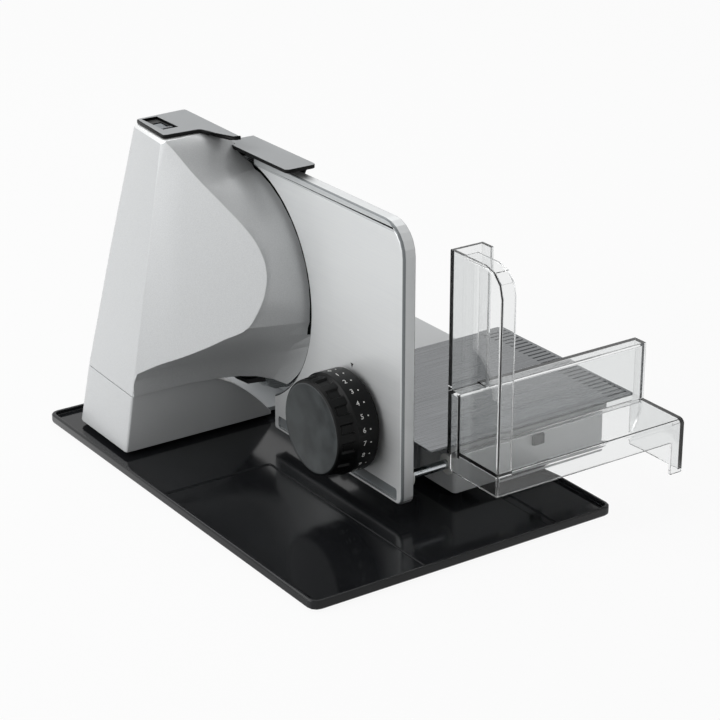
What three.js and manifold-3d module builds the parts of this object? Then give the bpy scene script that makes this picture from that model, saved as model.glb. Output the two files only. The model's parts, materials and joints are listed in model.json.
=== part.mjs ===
// A food slicer. A round blade turns beside a sculpted motor housing, a stop plate slides
// on rods to set the slice, and a clear carriage carries the food past the blade.
// Lengths are millimetres and angles degrees. X runs right, Y back and Z up, and places
// are measured from the front left corner of the tray's rim, at the height of the rim.

import * as THREE from 'three';
import { mergeVertices } from 'three/addons/utils/BufferGeometryUtils.js';
import loadManifold from 'manifold-3d';

const wasm = await loadManifold();
wasm.setup();

// Gaps and overruns that every piece shares.
const clearance = 0.3;
const overrun = 2;
const weldDistance = 0.001;

// Facet counts.
const cornerSteps = 3;
const roundSteps = 32;
const smallRoundSteps = 12;

const tray = {
  width: 242,
  depth: 354,
  corner: 7,
  rimHeight: 6.6,
  rimWidth: 3,
  rimChamfer: 0.8,
  floorDrop: 3,
  floorThickness: 2.2,
  panelDrop: 0.8,
  panelLeft: 4,
  panelRight: 90,
  panelFront: 5,
  panelBack: 192,
  panelCorner: 2,
  channelLeft: 191,
  channelRight: 198,
  channelFront: 5,
  channelBack: 60,
  standHeight: 8,
  footRadius: 6,
  footInset: 18,
};

const blade = {
  radius: 85,
  axisY: 261,
  lift: 27,
  cutPlane: 123,
  thickness: 1.5,
  bevel: 4.5,
  edge: 0.3,
  wave: 0.8,
  dishDepth: 3,
  rimWidth: 24,
  seatRadius: 40,
  lockRadius: 28,
  lockHeight: 2.5,
  lockSlotWidth: 3.2,
  lockSlotLength: 34,
  lockSlotDepth: 1.4,
};
const waveCount = 30;
const bladeAxisZ = blade.lift + blade.radius;
const bladeTop = bladeAxisZ + blade.radius;
const dishRadius = blade.radius - blade.rimWidth;

const tower = {
  bottom: 42.3,
  rise: 22.5,
  kneeZ: 59,
  shoulderDrop: 4,
  backKneeZ: 130,
  wall: 3,
  leftFootX: 17.8,
  leftKneeX: 20.5,
  leftTopX: 54.5,
  frontFootY: 257,
  frontTopY: 268.5,
  backLeftFootX: 21,
  backLeftTopX: 59.5,
  backLeftFootY: 330,
  backLeftTopY: 318,
  rightX: 119.5,
  rightTopX: 104.5,
  backOverhang: 3,
  backRightTopY: 320,
  facetOver: 5.9,
  bladeOverhang: 1,
  topFrontX: 85,
  ledge: 2,
  bandFootX: 85,
  bandTipX: 116.5,
  bandTipY: 250,
  bandBlendDrop: 11,
  bandBow: -1,
  frontCorner: 1.5,
  backCorner: 8,
  mouthLeft: 26,
  mouthRight: 56,
  mouthFront: 266,
  mouthBack: 322,
};
const facetTurn = -57;
const bandSteps = 7;

// The crease between the flat facet and the hollow band runs out over the facet and back
// again: each row is a share of the tower's height and a share of the facet's reach.
const creaseShares = [
  [0, 0.019], [0.097, 0.028], [0.156, 0.252], [0.21, 0.473], [0.29, 0.742], [0.336, 0.891],
  [0.454, 0.99], [0.542, 1], [0.62, 0.946], [0.693, 0.828], [0.762, 0.654], [0.802, 0.546],
  [0.89, 0.309], [0.992, 0.065], [1, 0.028],
];
// Above the shoulder the blade side of the front steps back: each row is a share of the
// height above the shoulder, of the way in from the right wall and of the way back.
const shoulderShares = [
  [0, 0, 0], [0.055, 0.22, 0.22], [0.2, 0.35, 0.35], [0.39, 0.46, 0.46], [0.6, 0.55, 0.55],
  [0.71, 0.6, 0.6], [0.89, 0.78, 0.78], [1, 1, 1],
];
// The right wall leans in over the same height.
const leanShares = [[0, 0], [0.453, 0.7], [1, 1]];
const towerTop = bladeTop + tower.rise;
const shoulderZ = bladeTop - tower.shoulderDrop;
const backRightFootY = blade.axisY + blade.radius + tower.backOverhang;
const facetReach = blade.radius + tower.facetOver;
const loftShares = [
  0, 0.03, 0.065, 0.094, 0.14, 0.185, 0.23, 0.28, 0.34, 0.41, 0.49, 0.57, 0.65, 0.72, 0.785,
  0.825,
];

const base = {
  bottom: 0.5,
  parting: 0.5,
  leftFrontFoot: 11.5,
  leftBackFoot: 12.6,
  wall: 3,
  floor: 2.5,
  frontCorner: 2,
  backCorner: 8,
  rampStartX: 79,
  rampToeX: 132.5,
  rampRun: 57,
  rampDrop: 43.3,
};
const rampSlopeShare = 0.31;
const rampSteps = 12;

const plate = {
  setting: 0,
  thickness: 10,
  front: 65,
  backInset: 39.2,
  bottom: 7.6,
  rise: 7,
  tongueGap: 7.2,
  topCorner: 22,
  bottomCorner: 6,
  bladeGap: 2,
  rimRound: 1.6,
  rimDepth: 1.6,
  stripHeight: 6,
  stripDepth: 0.9,
  lip: 3,
  grooveHeight: 8,
  grooveDepth: 1.5,
  grooveEnd: 6,
  socketDepth: 7,
};
const plateArcSteps = 30;
const plateTop = bladeTop + plate.rise;
const plateBack = blade.axisY - plate.backInset;

const knob = {
  axisY: 120,
  axisZ: 53.7,
  length: 30.7,
  standOff: 4.3,
  faceRadius: 33,
  backRadius: 35.3,
  scaleLength: 17,
  gripRadius: 34.2,
  ringRadius: 30.6,
  dish: 2.2,
  edgeRound: 1.4,
  faceThickness: 6,
  wall: 5,
  gripDepth: 0.9,
  gripWidth: 7,
  socketDepth: 2.6,
  spindleRadius: 4,
};
const gripCount = 16;
// The dish in the face: shares of the ring's radius and of the dish's depth.
const dishShares = [[0, 1], [0.55, 0.72], [0.9, 0.28], [1, 0]];

const collar = { height: 10.3, wall: 4.7, bead: 1, beadWidth: 1.8, notchWidth: 14 };

const bracket = {
  nutX: 84.8,
  nutLength: 6,
  nutRadius: 9,
  armWidth: 12,
  armHeight: 5,
  armBottom: 26,
  footThickness: 2.7,
  footWidth: 28,
  footBottom: 8,
  footTop: 30,
};

const rods = {
  radius: 3.3,
  z: 24,
  frontY: 75,
  rearY: 200,
  reach: 77,
  ferruleRadius: 8,
  ferruleLength: 2.7,
  bushRadius: 4.8,
  bushLength: 26.5,
  bushFlange: 1.3,
  bushFlangeRadius: 7.4,
};

const bed = {
  left: 158.5,
  right: 289,
  front: 67.4,
  backInset: 19,
  bottom: 4,
  top: 31,
  wall: 3,
  corner: 3,
  chamfer: 1,
  bufferLeft: 224,
  bufferRight: 234,
  bufferHeight: 9,
  bufferDepth: 2.4,
  plateDepth: 68,
  plateBackInset: 5,
  plateRightInset: 4,
  bossRadius: 8,
};

const bedBack = tray.depth - bed.backInset;
const tiePlateBack = bedBack - bed.plateBackInset;

const machineFoot = {
  radius: 7,
  leftX: 32,
  frontY: 273,
  backY: 316,
  bedX: 176,
  bedFrontY: 95,
  bedBackInset: 17,
};

const drive = {
  module: 2,
  gearLeft: 79,
  gearWidth: 10,
  hubRadius: 11,
  hubOverhang: 1,
  webDepth: 3,
  webInner: 15,
  rimWall: 3.5,
  backlash: 0.3,
  tipClearance: 0.4,
  axleRadius: 6,
  axleLeft: 77,
  axleFlangeRadius: 22,
  bearingWall: 4,
  bearingLeft: 90.2,
  bearingFlange: 2.5,
  bearingFlangeRadius: 13,
  bossWall: 7,
  wormPitchRadius: 9,
  wormHalfLength: 12,
  wormShaftRadius: 3,
  wormShaftTop: 22,
  wormToMotor: 18,
  motorRadius: 19,
  cradleWall: 2,
  cradleFloor: 3.1,
  cradleHeight: 15,
};
const gearTeeth = 38;
// The width of a tooth's tip as a share of the pitch, and of a thread's as one of its middle.
const toothTipShare = 0.24;
const threadTipShare = 0.55;
const wormTurnSteps = 12;

const carrier = {
  rimUnder: 6.1,
  openingLeft: 104,
  recess: 4.3,
  thickness: 3.7,
  rimWidth: 3.2,
  rimLeft: 106,
  ribThickness: 3,
};
const ribCount = 6;
const openingRadius = blade.radius - carrier.rimUnder;

const cover = {
  thickness: 2.6,
  chamfer: 0.6,
  corner: 4,
  backLeftX: 60.3,
  backLeftY: 317.5,
  backRightX: 104.8,
  backRightY: 320.2,
  noseRightX: 102.4,
  noseRightY: 236.8,
  noseLeftX: 95.3,
  noseLeftY: 239,
  notchX: 88.3,
  notchY: 255.7,
  frontRightX: 85.2,
  frontRightY: 267.8,
  frontLeftX: 56,
  frontLeftY: 269,
};

const rocker = {
  wellLeft: 65,
  wellRight: 77,
  wellFront: 283,
  wellBack: 313,
  wellDrop: 1.8,
  bodyDepth: 19.4,
  pocketFront: 284.7,
  pocketBack: 304.3,
  pocketWall: 1.6,
  pocketDepth: 16.4,
  pivotY: 294.5,
  pivotDrop: 8.6,
  width: 8,
  halfLength: 8.4,
  tipRise: 7.4,
  middleRise: 6,
  skirtDrop: 3,
  heelDrop: 4,
  heelHalf: 4,
  tilt: 7,
};

const lid = {
  rise: 11.5,
  thickness: 2.8,
  left: 104,
  right: 128,
  front: 187,
  roofBack: 267,
  seatFront: 262.3,
  back: 279,
  backDrop: 6,
  seatRise: 2.5,
  webThickness: 2,
  webDrop: 7,
  webFront: 196,
  webSlope: 12,
  corner: 3,
};

const gland = {
  x: 60,
  z: 20,
  radius: 7,
  bodyRadius: 5,
  bore: 2.6,
  collarLength: 2.5,
  bodyLength: 6,
};

const sheet = {
  left: 128.5,
  right: 302,
  front: 54.5,
  back: 204,
  top: 49,
  thickness: 1.6,
  rungLeft: 283,
  rungRight: 299.5,
  rungPitch: 5.4,
  rungWidth: 1.6,
  rungDepth: 0.7,
  corner: 2,
};

const frame = {
  left: 150,
  right: 281,
  depth: 145,
  thickness: 5.6,
  corner: 6,
};

const rail = {
  x: 214,
  radius: 3.5,
  sink: 1,
  troughHalfWidth: 9,
  troughDepth: 10,
  troughWall: 2,
  mountLength: 6.5,
  shoeLength: 14,
  shoeFront: 78.5,
  shoeRear: 128,
  shoeHalfWidth: 7.6,
  shoeLip: 2.2,
};

const roller = {
  x: 270,
  radius: 5,
  width: 6,
  pinRadius: 1.5,
  pinLength: 16,
  forkThickness: 3,
  forkHalfDepth: 3.5,
  frontY: 85,
  rearY: 140,
};

const guard = {
  wall: 2.5,
  left: 142,
  right: 302.5,
  front: 0,
  fenceFront: 42.4,
  fenceBack: 54.2,
  fenceTop: 90,
  skinBottom: 44,
  shelfTop: 48.5,
  shelfCorner: 4,
  skirtBottom: 32.5,
  cheekBack: 50.8,
  cheekStep: 49.6,
  towerTop: 187,
  towerCorner: 18,
  flangeWidth: 12,
  flangeBack: 41,
  returnRight: 168,
  legWidth: 10.5,
  legBottom: 8.5,
  panelRise: 2,
};

// Materials.
const finish = (color, roughness, metalness, extra = {}) =>
  new THREE.MeshStandardMaterial({ color, roughness, metalness, ...extra });
const silverPaint = () => finish('#c3c6c8', 0.42, 0.55);
const plateSilver = () => finish('#d3d5d6', 0.36, 0.6);
const satinAnthracite = () => finish('#3b3e41', 0.5, 0.1);
const glossBlack = () => finish('#141517', 0.12, 0);
const matteBlack = () => finish('#242628', 0.55, 0);
const greyPlastic = () => finish('#8b8f92', 0.5, 0);
const whitePlastic = () => finish('#e9e9e6', 0.45, 0);
const clearPlastic = () => finish('#e4eaec', 0.05, 0, { transparent: true, opacity: 0.35 });
const polishedSteel = () => finish('#d9dbdc', 0.18, 1);
const sheetSteel = () => finish('#73787c', 0.35, 0.85);
const castMetal = () => finish('#9a9da0', 0.5, 0.7);
const gearPlastic = () => finish('#d8cfb4', 0.5, 0);
const blackRubber = () => finish('#1d1d1e', 0.85, 0);

// Plane helpers. Points are [a, b] pairs, and outlines run anticlockwise.
const radians = (degrees) => THREE.MathUtils.degToRad(degrees);
const mix = THREE.MathUtils.lerp;
const mixPoints = (p, q, share) => [mix(p[0], q[0], share), mix(p[1], q[1], share)];
const plus = (p, q, scale = 1) => [p[0] + q[0] * scale, p[1] + q[1] * scale];
const minus = (p, q) => [p[0] - q[0], p[1] - q[1]];
const dot = (p, q) => p[0] * q[0] + p[1] * q[1];
const unit = (p) => [p[0] / Math.hypot(...p), p[1] / Math.hypot(...p)];
const leftOf = (p) => [-p[1], p[0]];
const polar = (radius, degrees) => [
  radius * Math.cos(radians(degrees)),
  radius * Math.sin(radians(degrees)),
];

// The point where a corner lands when both of its sides move in by a distance.
function insetCorner(before, corner, after, distance) {
  const first = leftOf(unit(minus(corner, before)));
  const second = leftOf(unit(minus(after, corner)));
  return plus(corner, plus(first, second), distance / (1 + dot(first, second)));
}

function insetOutline(outline, distance) {
  return outline.map((corner, i) => {
    const after = outline[(i + 1) % outline.length];
    return insetCorner(outline.at(i - 1), corner, after, distance);
  });
}

// The arc that rounds one corner, from the side that comes in to the side that leaves.
function roundCorner(before, corner, after, radius, steps = cornerSteps) {
  const back = unit(minus(before, corner));
  const ahead = unit(minus(after, corner));
  const half = Math.acos(THREE.MathUtils.clamp(dot(back, ahead), -1, 1)) / 2;
  const centre = plus(corner, unit(plus(back, ahead)), radius / Math.sin(half));
  const start = plus(corner, back, radius / Math.tan(half));
  const end = plus(corner, ahead, radius / Math.tan(half));
  const from = Math.atan2(start[1] - centre[1], start[0] - centre[0]);
  let turn = Math.atan2(end[1] - centre[1], end[0] - centre[0]) - from;
  turn = Math.atan2(Math.sin(turn), Math.cos(turn));
  return Array.from({ length: steps + 1 }, (_, i) => {
    const angle = from + (turn * i) / steps;
    return [centre[0] + radius * Math.cos(angle), centre[1] + radius * Math.sin(angle)];
  });
}

// An outline from corners given as [a, b, radius], with the radius left out where it is sharp.
function outlineOf(corners) {
  return corners.flatMap(([a, b, radius = 0], i) => {
    const after = corners[(i + 1) % corners.length];
    return radius > 0 ? roundCorner(corners.at(i - 1), [a, b], after, radius) : [[a, b]];
  });
}

// The same corners moved in, with their rounds drawn tighter.
function insetCorners(corners, distance) {
  return insetOutline(corners, distance).map(([a, b], i) =>
    [a, b, Math.max((corners[i][2] ?? 0) - distance, 0)]);
}

function rectangle(a0, b0, a1, b1, radius = 0) {
  return outlineOf([[a0, b0, radius], [a1, b0, radius], [a1, b1, radius], [a0, b1, radius]]);
}

function arc(centre, radius, fromDegrees, toDegrees, steps) {
  return Array.from({ length: steps + 1 }, (_, i) =>
    plus(centre, polar(radius, mix(fromDegrees, toDegrees, i / steps))));
}

// Reads a smooth value from rows of shares, with the slopes that the rows suggest.
function smoothShare(rows, at) {
  const i = Math.max(1, rows.findIndex((row) => row[0] >= at));
  const slope = (k) => {
    const low = rows[Math.max(k - 1, 0)];
    const high = rows[Math.min(k + 1, rows.length - 1)];
    return (high[1] - low[1]) / (high[0] - low[0]);
  };
  const [x0, y0] = rows[i - 1];
  const [x1, y1] = rows[i];
  const span = x1 - x0;
  const t = (at - x0) / span;
  const s = 1 - t;
  return y0 * (1 + 2 * t) * s * s + y1 * (3 - 2 * t) * t * t
    + span * (slope(i - 1) * t * s * s - slope(i) * t * t * s);
}

function straightShare(rows, at, column) {
  const i = Math.max(1, rows.findIndex((row) => row[0] >= at - weldDistance));
  const t = (at - rows[i - 1][0]) / (rows[i][0] - rows[i - 1][0]);
  return mix(rows[i - 1][column], rows[i][column], THREE.MathUtils.clamp(t, 0, 1));
}

// Solid helpers. A solid is a closed body that can be joined and cut.
function solid(geometry) {
  geometry.deleteAttribute('normal');
  geometry.deleteAttribute('uv');
  const welded = mergeVertices(geometry, weldDistance);
  const index = welded.index.array;
  const triangles = [];
  for (let i = 0; i < index.length; i += 3) {
    const [a, b, c] = index.slice(i, i + 3);
    if (a !== b && b !== c && c !== a) triangles.push(a, b, c);
  }
  return new wasm.Manifold(new wasm.Mesh({
    numProp: 3,
    vertProperties: new Float32Array(welded.attributes.position.array),
    triVerts: new Uint32Array(triangles),
  }));
}

const joined = (first, ...others) => others.reduce((body, other) => body.add(other), first);
const without = (first, ...others) => others.reduce((body, other) => body.subtract(other), first);

// A closed mesh through sections with equal numbers of points, at places along an axis.
const axisPoint = {
  x: (a, b, at) => [at, a, b],
  y: (a, b, at) => [a, at, b],
  z: (a, b, at) => [a, b, at],
};

function ringMesh(rings, startFaces, endFaces, flip = false) {
  const count = rings[0].length;
  const faces = startFaces.map(([a, b, c]) => [a, c, b]);
  for (let i = 0; i + 1 < rings.length; i += 1) {
    for (let j = 0; j < count; j += 1) {
      const next = (j + 1) % count;
      const [a, b] = [i * count + j, i * count + next];
      faces.push([a, b, b + count], [a, b + count, a + count]);
    }
  }
  const last = (rings.length - 1) * count;
  faces.push(...endFaces.map((face) => face.map((corner) => corner + last)));
  const geometry = new THREE.BufferGeometry();
  geometry.setAttribute('position', new THREE.Float32BufferAttribute(rings.flat(2), 3));
  geometry.setIndex(faces.flatMap(([a, b, c]) => (flip ? [a, c, b] : [a, b, c])));
  return geometry;
}

function loft(axis, sections) {
  const rings = sections.map(({ at, outline }) =>
    outline.map(([a, b]) => axisPoint[axis](a, b, at)));
  const cap = ({ outline }) =>
    THREE.ShapeUtils.triangulateShape(outline.map(([a, b]) => new THREE.Vector2(a, b)), []);
  return solid(ringMesh(rings, cap(sections[0]), cap(sections.at(-1)), axis === 'y'));
}

// One outline at several places along an axis, each with its own inset: [place, inset].
function layered(axis, outline, levels) {
  return loft(axis, levels.map(([at, inset]) => ({ at, outline: insetOutline(outline, inset) })));
}

const turnFrom = {
  x: new THREE.Matrix4().set(0, 0, 1, 0, 1, 0, 0, 0, 0, 1, 0, 0, 0, 0, 0, 1),
  y: new THREE.Matrix4().makeRotationX(Math.PI / 2),
  z: new THREE.Matrix4(),
};

// A straight prism of an outline, from one place along an axis to another.
function prism(axis, outline, from, to) {
  const shape = new THREE.Shape(outline.map(([a, b]) => new THREE.Vector2(a, b)));
  const geometry = new THREE.ExtrudeGeometry(shape, { depth: to - from, bevelEnabled: false });
  geometry.applyMatrix4(turnFrom[axis]);
  const shift = axis === 'y' ? to : from;
  geometry.translate(...axisPoint[axis](0, 0, shift));
  return solid(geometry);
}

function box(x0, y0, z0, x1, y1, z1) {
  return prism('z', rectangle(x0, y0, x1, y1), z0, z1);
}

const spinFrom = {
  x: new THREE.Matrix4().set(0, 1, 0, 0, 0, 0, 1, 0, 1, 0, 0, 0, 0, 0, 0, 1),
  y: new THREE.Matrix4(),
  z: new THREE.Matrix4().set(0, 0, 1, 0, 1, 0, 0, 0, 0, 1, 0, 0, 0, 0, 0, 1),
};

// A turned body: the profile lists [radius, place along the axis].
function turned(axis, profile, centre = [0, 0], steps = roundSteps) {
  const points = profile.map(([radius, along]) => new THREE.Vector2(radius, along));
  const geometry = new THREE.LatheGeometry(points, steps);
  geometry.applyMatrix4(spinFrom[axis]);
  geometry.translate(...axisPoint[axis](...centre, 0));
  return solid(geometry);
}

function cylinder(axis, radius, from, to, centre, steps) {
  return turned(axis, [[0, from], [radius, from], [radius, to], [0, to]], centre, steps);
}

function tube(axis, inner, outer, from, to, centre, steps) {
  const profile = [[inner, from], [outer, from], [outer, to], [inner, to], [inner, from]];
  return turned(axis, profile, centre, steps);
}

// A round bar with small bevels at both ends.
function pin(axis, radius, from, to, bevel, centre, steps = smallRoundSteps) {
  const profile = [
    [0, from], [radius - bevel, from], [radius, from + bevel],
    [radius, to - bevel], [radius - bevel, to], [0, to],
  ];
  return turned(axis, profile, centre, steps);
}

// The scene. Groups carry the pieces that move or turn together.
const machine = new THREE.Group();

function addGroup(parent, x = 0, y = 0, z = 0) {
  const group = new THREE.Group();
  group.position.set(x, y, z);
  parent.add(group);
  return group;
}

const knobX = -plate.thickness - knob.standOff - knob.length;
const wormPitch = Math.PI * drive.module;
const gearRadius = (gearTeeth * drive.module) / 2;
const driveDistance = gearRadius + drive.wormPitchRadius;
const wormX = drive.gearLeft + drive.gearWidth / 2;

const cradleOuter = drive.motorRadius + clearance + drive.cradleWall;

const bladeAxis = addGroup(machine, 0, blade.axisY, bladeAxisZ);
const wormAxis = addGroup(machine, wormX, blade.axisY + driveDistance, bladeAxisZ);
const slidePlate = addGroup(machine, blade.cutPlane - plate.setting, 0, 0);
const knobAxis = addGroup(slidePlate, 0, knob.axisY, knob.axisZ);
const carriage = addGroup(machine);

function place(name, body, material, parent = machine) {
  const { vertProperties, triVerts } = body.getMesh();
  const geometry = new THREE.BufferGeometry();
  geometry.setAttribute('position', new THREE.BufferAttribute(vertProperties, 3));
  geometry.setIndex(new THREE.BufferAttribute(triVerts, 1));
  geometry.computeVertexNormals();
  const mesh = new THREE.Mesh(geometry, material);
  mesh.name = name;
  parent.add(mesh);
  return mesh;
}

// The tray: a shallow dish with a sunk panel for the slices and a dividing channel.
const trayFloor = -tray.floorDrop;
const trayUnderside = trayFloor - tray.floorThickness;

function makeTray() {
  const outline = rectangle(0, 0, tray.width, tray.depth, tray.corner);
  const inner = insetOutline(outline, tray.rimWidth);
  const body = layered('z', outline, [
    [-tray.rimHeight, tray.rimChamfer],
    [-tray.rimHeight + tray.rimChamfer, 0],
    [-tray.rimChamfer, 0],
    [0, tray.rimChamfer],
  ]);
  const panel = rectangle(tray.panelLeft, tray.panelFront, tray.panelRight, tray.panelBack,
    tray.panelCorner);
  const channel = rectangle(tray.channelLeft, tray.channelFront, tray.channelRight,
    tray.channelBack);
  return without(body,
    prism('z', inner, trayFloor, overrun),
    prism('z', inner, -tray.rimHeight - overrun, trayUnderside),
    prism('z', panel, trayFloor - tray.panelDrop, overrun),
    prism('z', channel, trayFloor - tray.panelDrop, overrun));
}

place('tray', makeTray(), glossBlack());

for (const [i, x] of [tray.footInset, tray.width - tray.footInset].entries()) {
  for (const [j, y] of [tray.footInset, tray.depth - tray.footInset].entries()) {
    const foot = pin('z', tray.footRadius, -tray.standHeight, trayUnderside - clearance,
      tray.rimChamfer);
    place(`tray_foot_${2 * i + j + 1}`, foot, blackRubber()).position.set(x, y, 0);
  }
}

// The tower's sections. Each height has its corners, its crease and its hollow band.
const guardRadius = blade.radius - tower.bladeOverhang;
const towerHeight = towerTop - tower.bottom;
const facetDirection = polar(1, facetTurn);
const shoulderEdgeY = blade.axisY
  - Math.sqrt(guardRadius ** 2 - (shoulderZ - bladeAxisZ) ** 2);

function between(low, high, z) {
  return THREE.MathUtils.clamp((z - low) / (high - low), 0, 1);
}

function rightWallX(z) {
  const share = straightShare(leanShares, between(shoulderZ, towerTop, z), 1);
  return mix(tower.rightX, tower.rightTopX, share);
}

function bladeEdge(z) {
  if (z <= shoulderZ) {
    const rise = z - bladeAxisZ;
    return [tower.rightX, blade.axisY - Math.sqrt(guardRadius ** 2 - rise ** 2)];
  }
  const share = between(shoulderZ, towerTop, z);
  const inward = straightShare(shoulderShares, share, 1);
  const backward = straightShare(shoulderShares, share, 2);
  return [
    mix(tower.rightX, tower.topFrontX, inward),
    mix(shoulderEdgeY, tower.frontTopY, backward),
  ];
}

function frontLeftCorner(z) {
  const knee = between(tower.bottom, tower.kneeZ, z);
  const rise = between(tower.kneeZ, towerTop, z);
  const x = z < tower.kneeZ
    ? mix(tower.leftFootX, tower.leftKneeX, knee)
    : mix(tower.leftKneeX, tower.leftTopX, rise);
  return [x, mix(tower.frontFootY, tower.frontTopY, rise)];
}

function towerSection(z) {
  const share = between(tower.bottom, towerTop, z);
  const frontLeft = frontLeftCorner(z);
  const reach = facetReach * smoothShare(creaseShares, share);
  const crease = plus(frontLeft, facetDirection, reach);
  const edge = bladeEdge(z);
  const right = rightWallX(z);
  const inward = leftOf(unit(minus(edge, crease)));
  const blendZ = bladeAxisZ - tower.bandBlendDrop;
  const sweep = 1 - THREE.MathUtils.smoothstep(z, tower.bottom, blendZ);
  const handle = (third, foot) => {
    const straight = plus(mixPoints(crease, edge, third), inward, tower.bandBow);
    return new THREE.Vector2(...mixPoints(straight, foot, sweep));
  };
  const band = new THREE.CubicBezierCurve(
    new THREE.Vector2(...crease),
    handle(1 / 3, [tower.bandFootX, tower.frontFootY]),
    handle(2 / 3, [tower.bandTipX, tower.bandTipY]),
    new THREE.Vector2(...edge),
  );
  return {
    frontLeft,
    crease,
    edge,
    right,
    ledge: [right, edge[1] + tower.ledge],
    backRight: [right,
      mix(backRightFootY, tower.backRightTopY, between(tower.backKneeZ, towerTop, z))],
    backLeft: [mix(tower.backLeftFootX, tower.backLeftTopX, share),
      mix(tower.backLeftFootY, tower.backLeftTopY, share)],
    bandPoint: (t) => band.getPoint(t).toArray(),
    bandInset: (t, distance) => {
      const inside = leftOf(band.getTangent(t).toArray());
      return plus(band.getPoint(t).toArray(), inside, distance);
    },
  };
}

function towerOutline(z) {
  const s = towerSection(z);
  const band = Array.from({ length: bandSteps - 1 }, (_, i) => s.bandPoint((i + 1) / bandSteps));
  return [
    ...roundCorner(s.backLeft, s.frontLeft, s.crease, tower.frontCorner, 2),
    s.crease, ...band, s.edge, s.ledge,
    ...roundCorner(s.ledge, s.backRight, s.backLeft, tower.backCorner),
    ...roundCorner(s.backRight, s.backLeft, s.frontLeft, tower.backCorner),
  ];
}

// The space inside the walls at one height, out to a limit on the blade's side.
function innerOutline(z, wall, rightLimit) {
  const s = towerSection(THREE.MathUtils.clamp(z, tower.bottom, towerTop));
  const start = 1 / bandSteps;
  let corner = insetCorner(s.backLeft, s.frontLeft, s.crease, wall);
  let crease = insetCorner(s.frontLeft, s.crease, s.bandPoint(start), wall);
  if (dot(minus(crease, corner), facetDirection) < wall / 4) {
    corner = insetCorner(s.backLeft, s.frontLeft, s.bandPoint(start), wall);
    crease = plus(corner, unit(minus(s.bandPoint(start), s.frontLeft)), wall / 4);
  }
  let end = 1;
  if (s.bandInset(1, wall)[0] > rightLimit) {
    let low = start;
    for (let i = 0; i < 40; i += 1) {
      const middle = (low + end) / 2;
      if (s.bandInset(middle, wall)[0] > rightLimit) end = middle;
      else low = middle;
    }
  }
  const band = Array.from({ length: bandSteps }, (_, i) =>
    s.bandInset(mix(start, end, i / (bandSteps - 1)), wall));
  const shoulderY = Math.max(band.at(-1)[1] + wall / 2, s.ledge[1] + wall);
  const backRight = insetCorner(s.ledge, s.backRight, s.backLeft, wall);
  const backLeft = insetCorner(s.backRight, s.backLeft, s.frontLeft, wall);
  return [corner, crease, ...band, [rightLimit, shoulderY], [rightLimit, backRight[1]],
    backLeft];
}

const towerLevels = [
  ...loftShares.map((share) => mix(tower.bottom, towerTop, share)),
  ...[...shoulderShares, ...leanShares].map(([share]) =>
    mix(shoulderZ, towerTop, share)),
].sort((a, b) => a - b).filter((z, i, all) => i === 0 || z - all[i - 1] > clearance);

// The space that the blade's carrier fills, inside the walls and behind the blade.
// It is given about an origin in the plane of Y and Z.
function bladeRecess(wall, radius, left, [originY, originZ] = [0, 0]) {
  const right = blade.cutPlane + overrun;
  const low = bladeAxisZ - openingRadius - overrun;
  const levels = [low, ...towerLevels.filter((z) => z < shoulderZ + overrun)];
  const inside = loft('z', levels.map((z) => ({
    at: z - originZ,
    outline: innerOutline(z, wall, right).map(([x, y]) => [x, y - originY]),
  })));
  return cylinder('x', radius, left, right, [blade.axisY - originY, bladeAxisZ - originZ])
    .intersect(inside);
}

const switchHole = (from, to, gap = 0) => prism('z', rectangle(
  rocker.wellLeft + gap, rocker.wellFront + gap, rocker.wellRight - gap, rocker.wellBack - gap,
), from, to);

function makeTower() {
  const shell = loft('z', towerLevels.map((z) => ({ at: z, outline: towerOutline(z) })));
  const floor = tower.bottom + tower.wall;
  const roof = towerTop - tower.wall;
  const inner = [floor, ...towerLevels.filter((z) => z > floor + overrun && z < roof - overrun),
    roof];
  const cavity = loft('z', inner.map((z) =>
    ({ at: z, outline: innerOutline(z, tower.wall, rightWallX(z) - tower.wall) })));
  const mouth = rectangle(tower.mouthLeft, tower.mouthFront, tower.mouthRight, tower.mouthBack,
    base.frontCorner);
  return without(shell, cavity,
    bladeRecess(tower.wall, openingRadius, carrier.openingLeft),
    prism('z', mouth, tower.bottom - overrun, floor + overrun),
    switchHole(roof - overrun, towerTop + overrun));
}

place('housing_tower', makeTower(), silverPaint());

// The lower housing: an open tub whose right side is a curved slide for the slices.
const baseTop = tower.bottom - base.parting;
const rampHeight = (share) => baseTop
  - base.rampDrop * (rampSlopeShare * share + (1 - rampSlopeShare) * share ** 2);
const rampLast = (base.rampToeX - base.rampStartX) / base.rampRun;
const rampPoints = Array.from({ length: rampSteps + 1 }, (_, i) => {
  const share = (rampLast * i) / rampSteps;
  return [base.rampStartX + base.rampRun * share, rampHeight(share)];
});
const backSlope = (backRightFootY - tower.backLeftFootY)
  / (tower.rightX - tower.backLeftFootX);

function tubOutline(z, inset = 0) {
  const rise = between(base.bottom, baseTop, z);
  const left = mix(base.leftFrontFoot, tower.leftFootX, rise);
  const backLeft = mix(base.leftBackFoot, tower.backLeftFootX, rise);
  const right = base.rampToeX + overrun;
  return outlineOf(insetCorners([
    [left, tower.frontFootY, base.frontCorner],
    [right, tower.frontFootY],
    [right, tower.backLeftFootY + backSlope * (right - backLeft)],
    [backLeft, tower.backLeftFootY, base.backCorner],
  ], inset));
}

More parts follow.
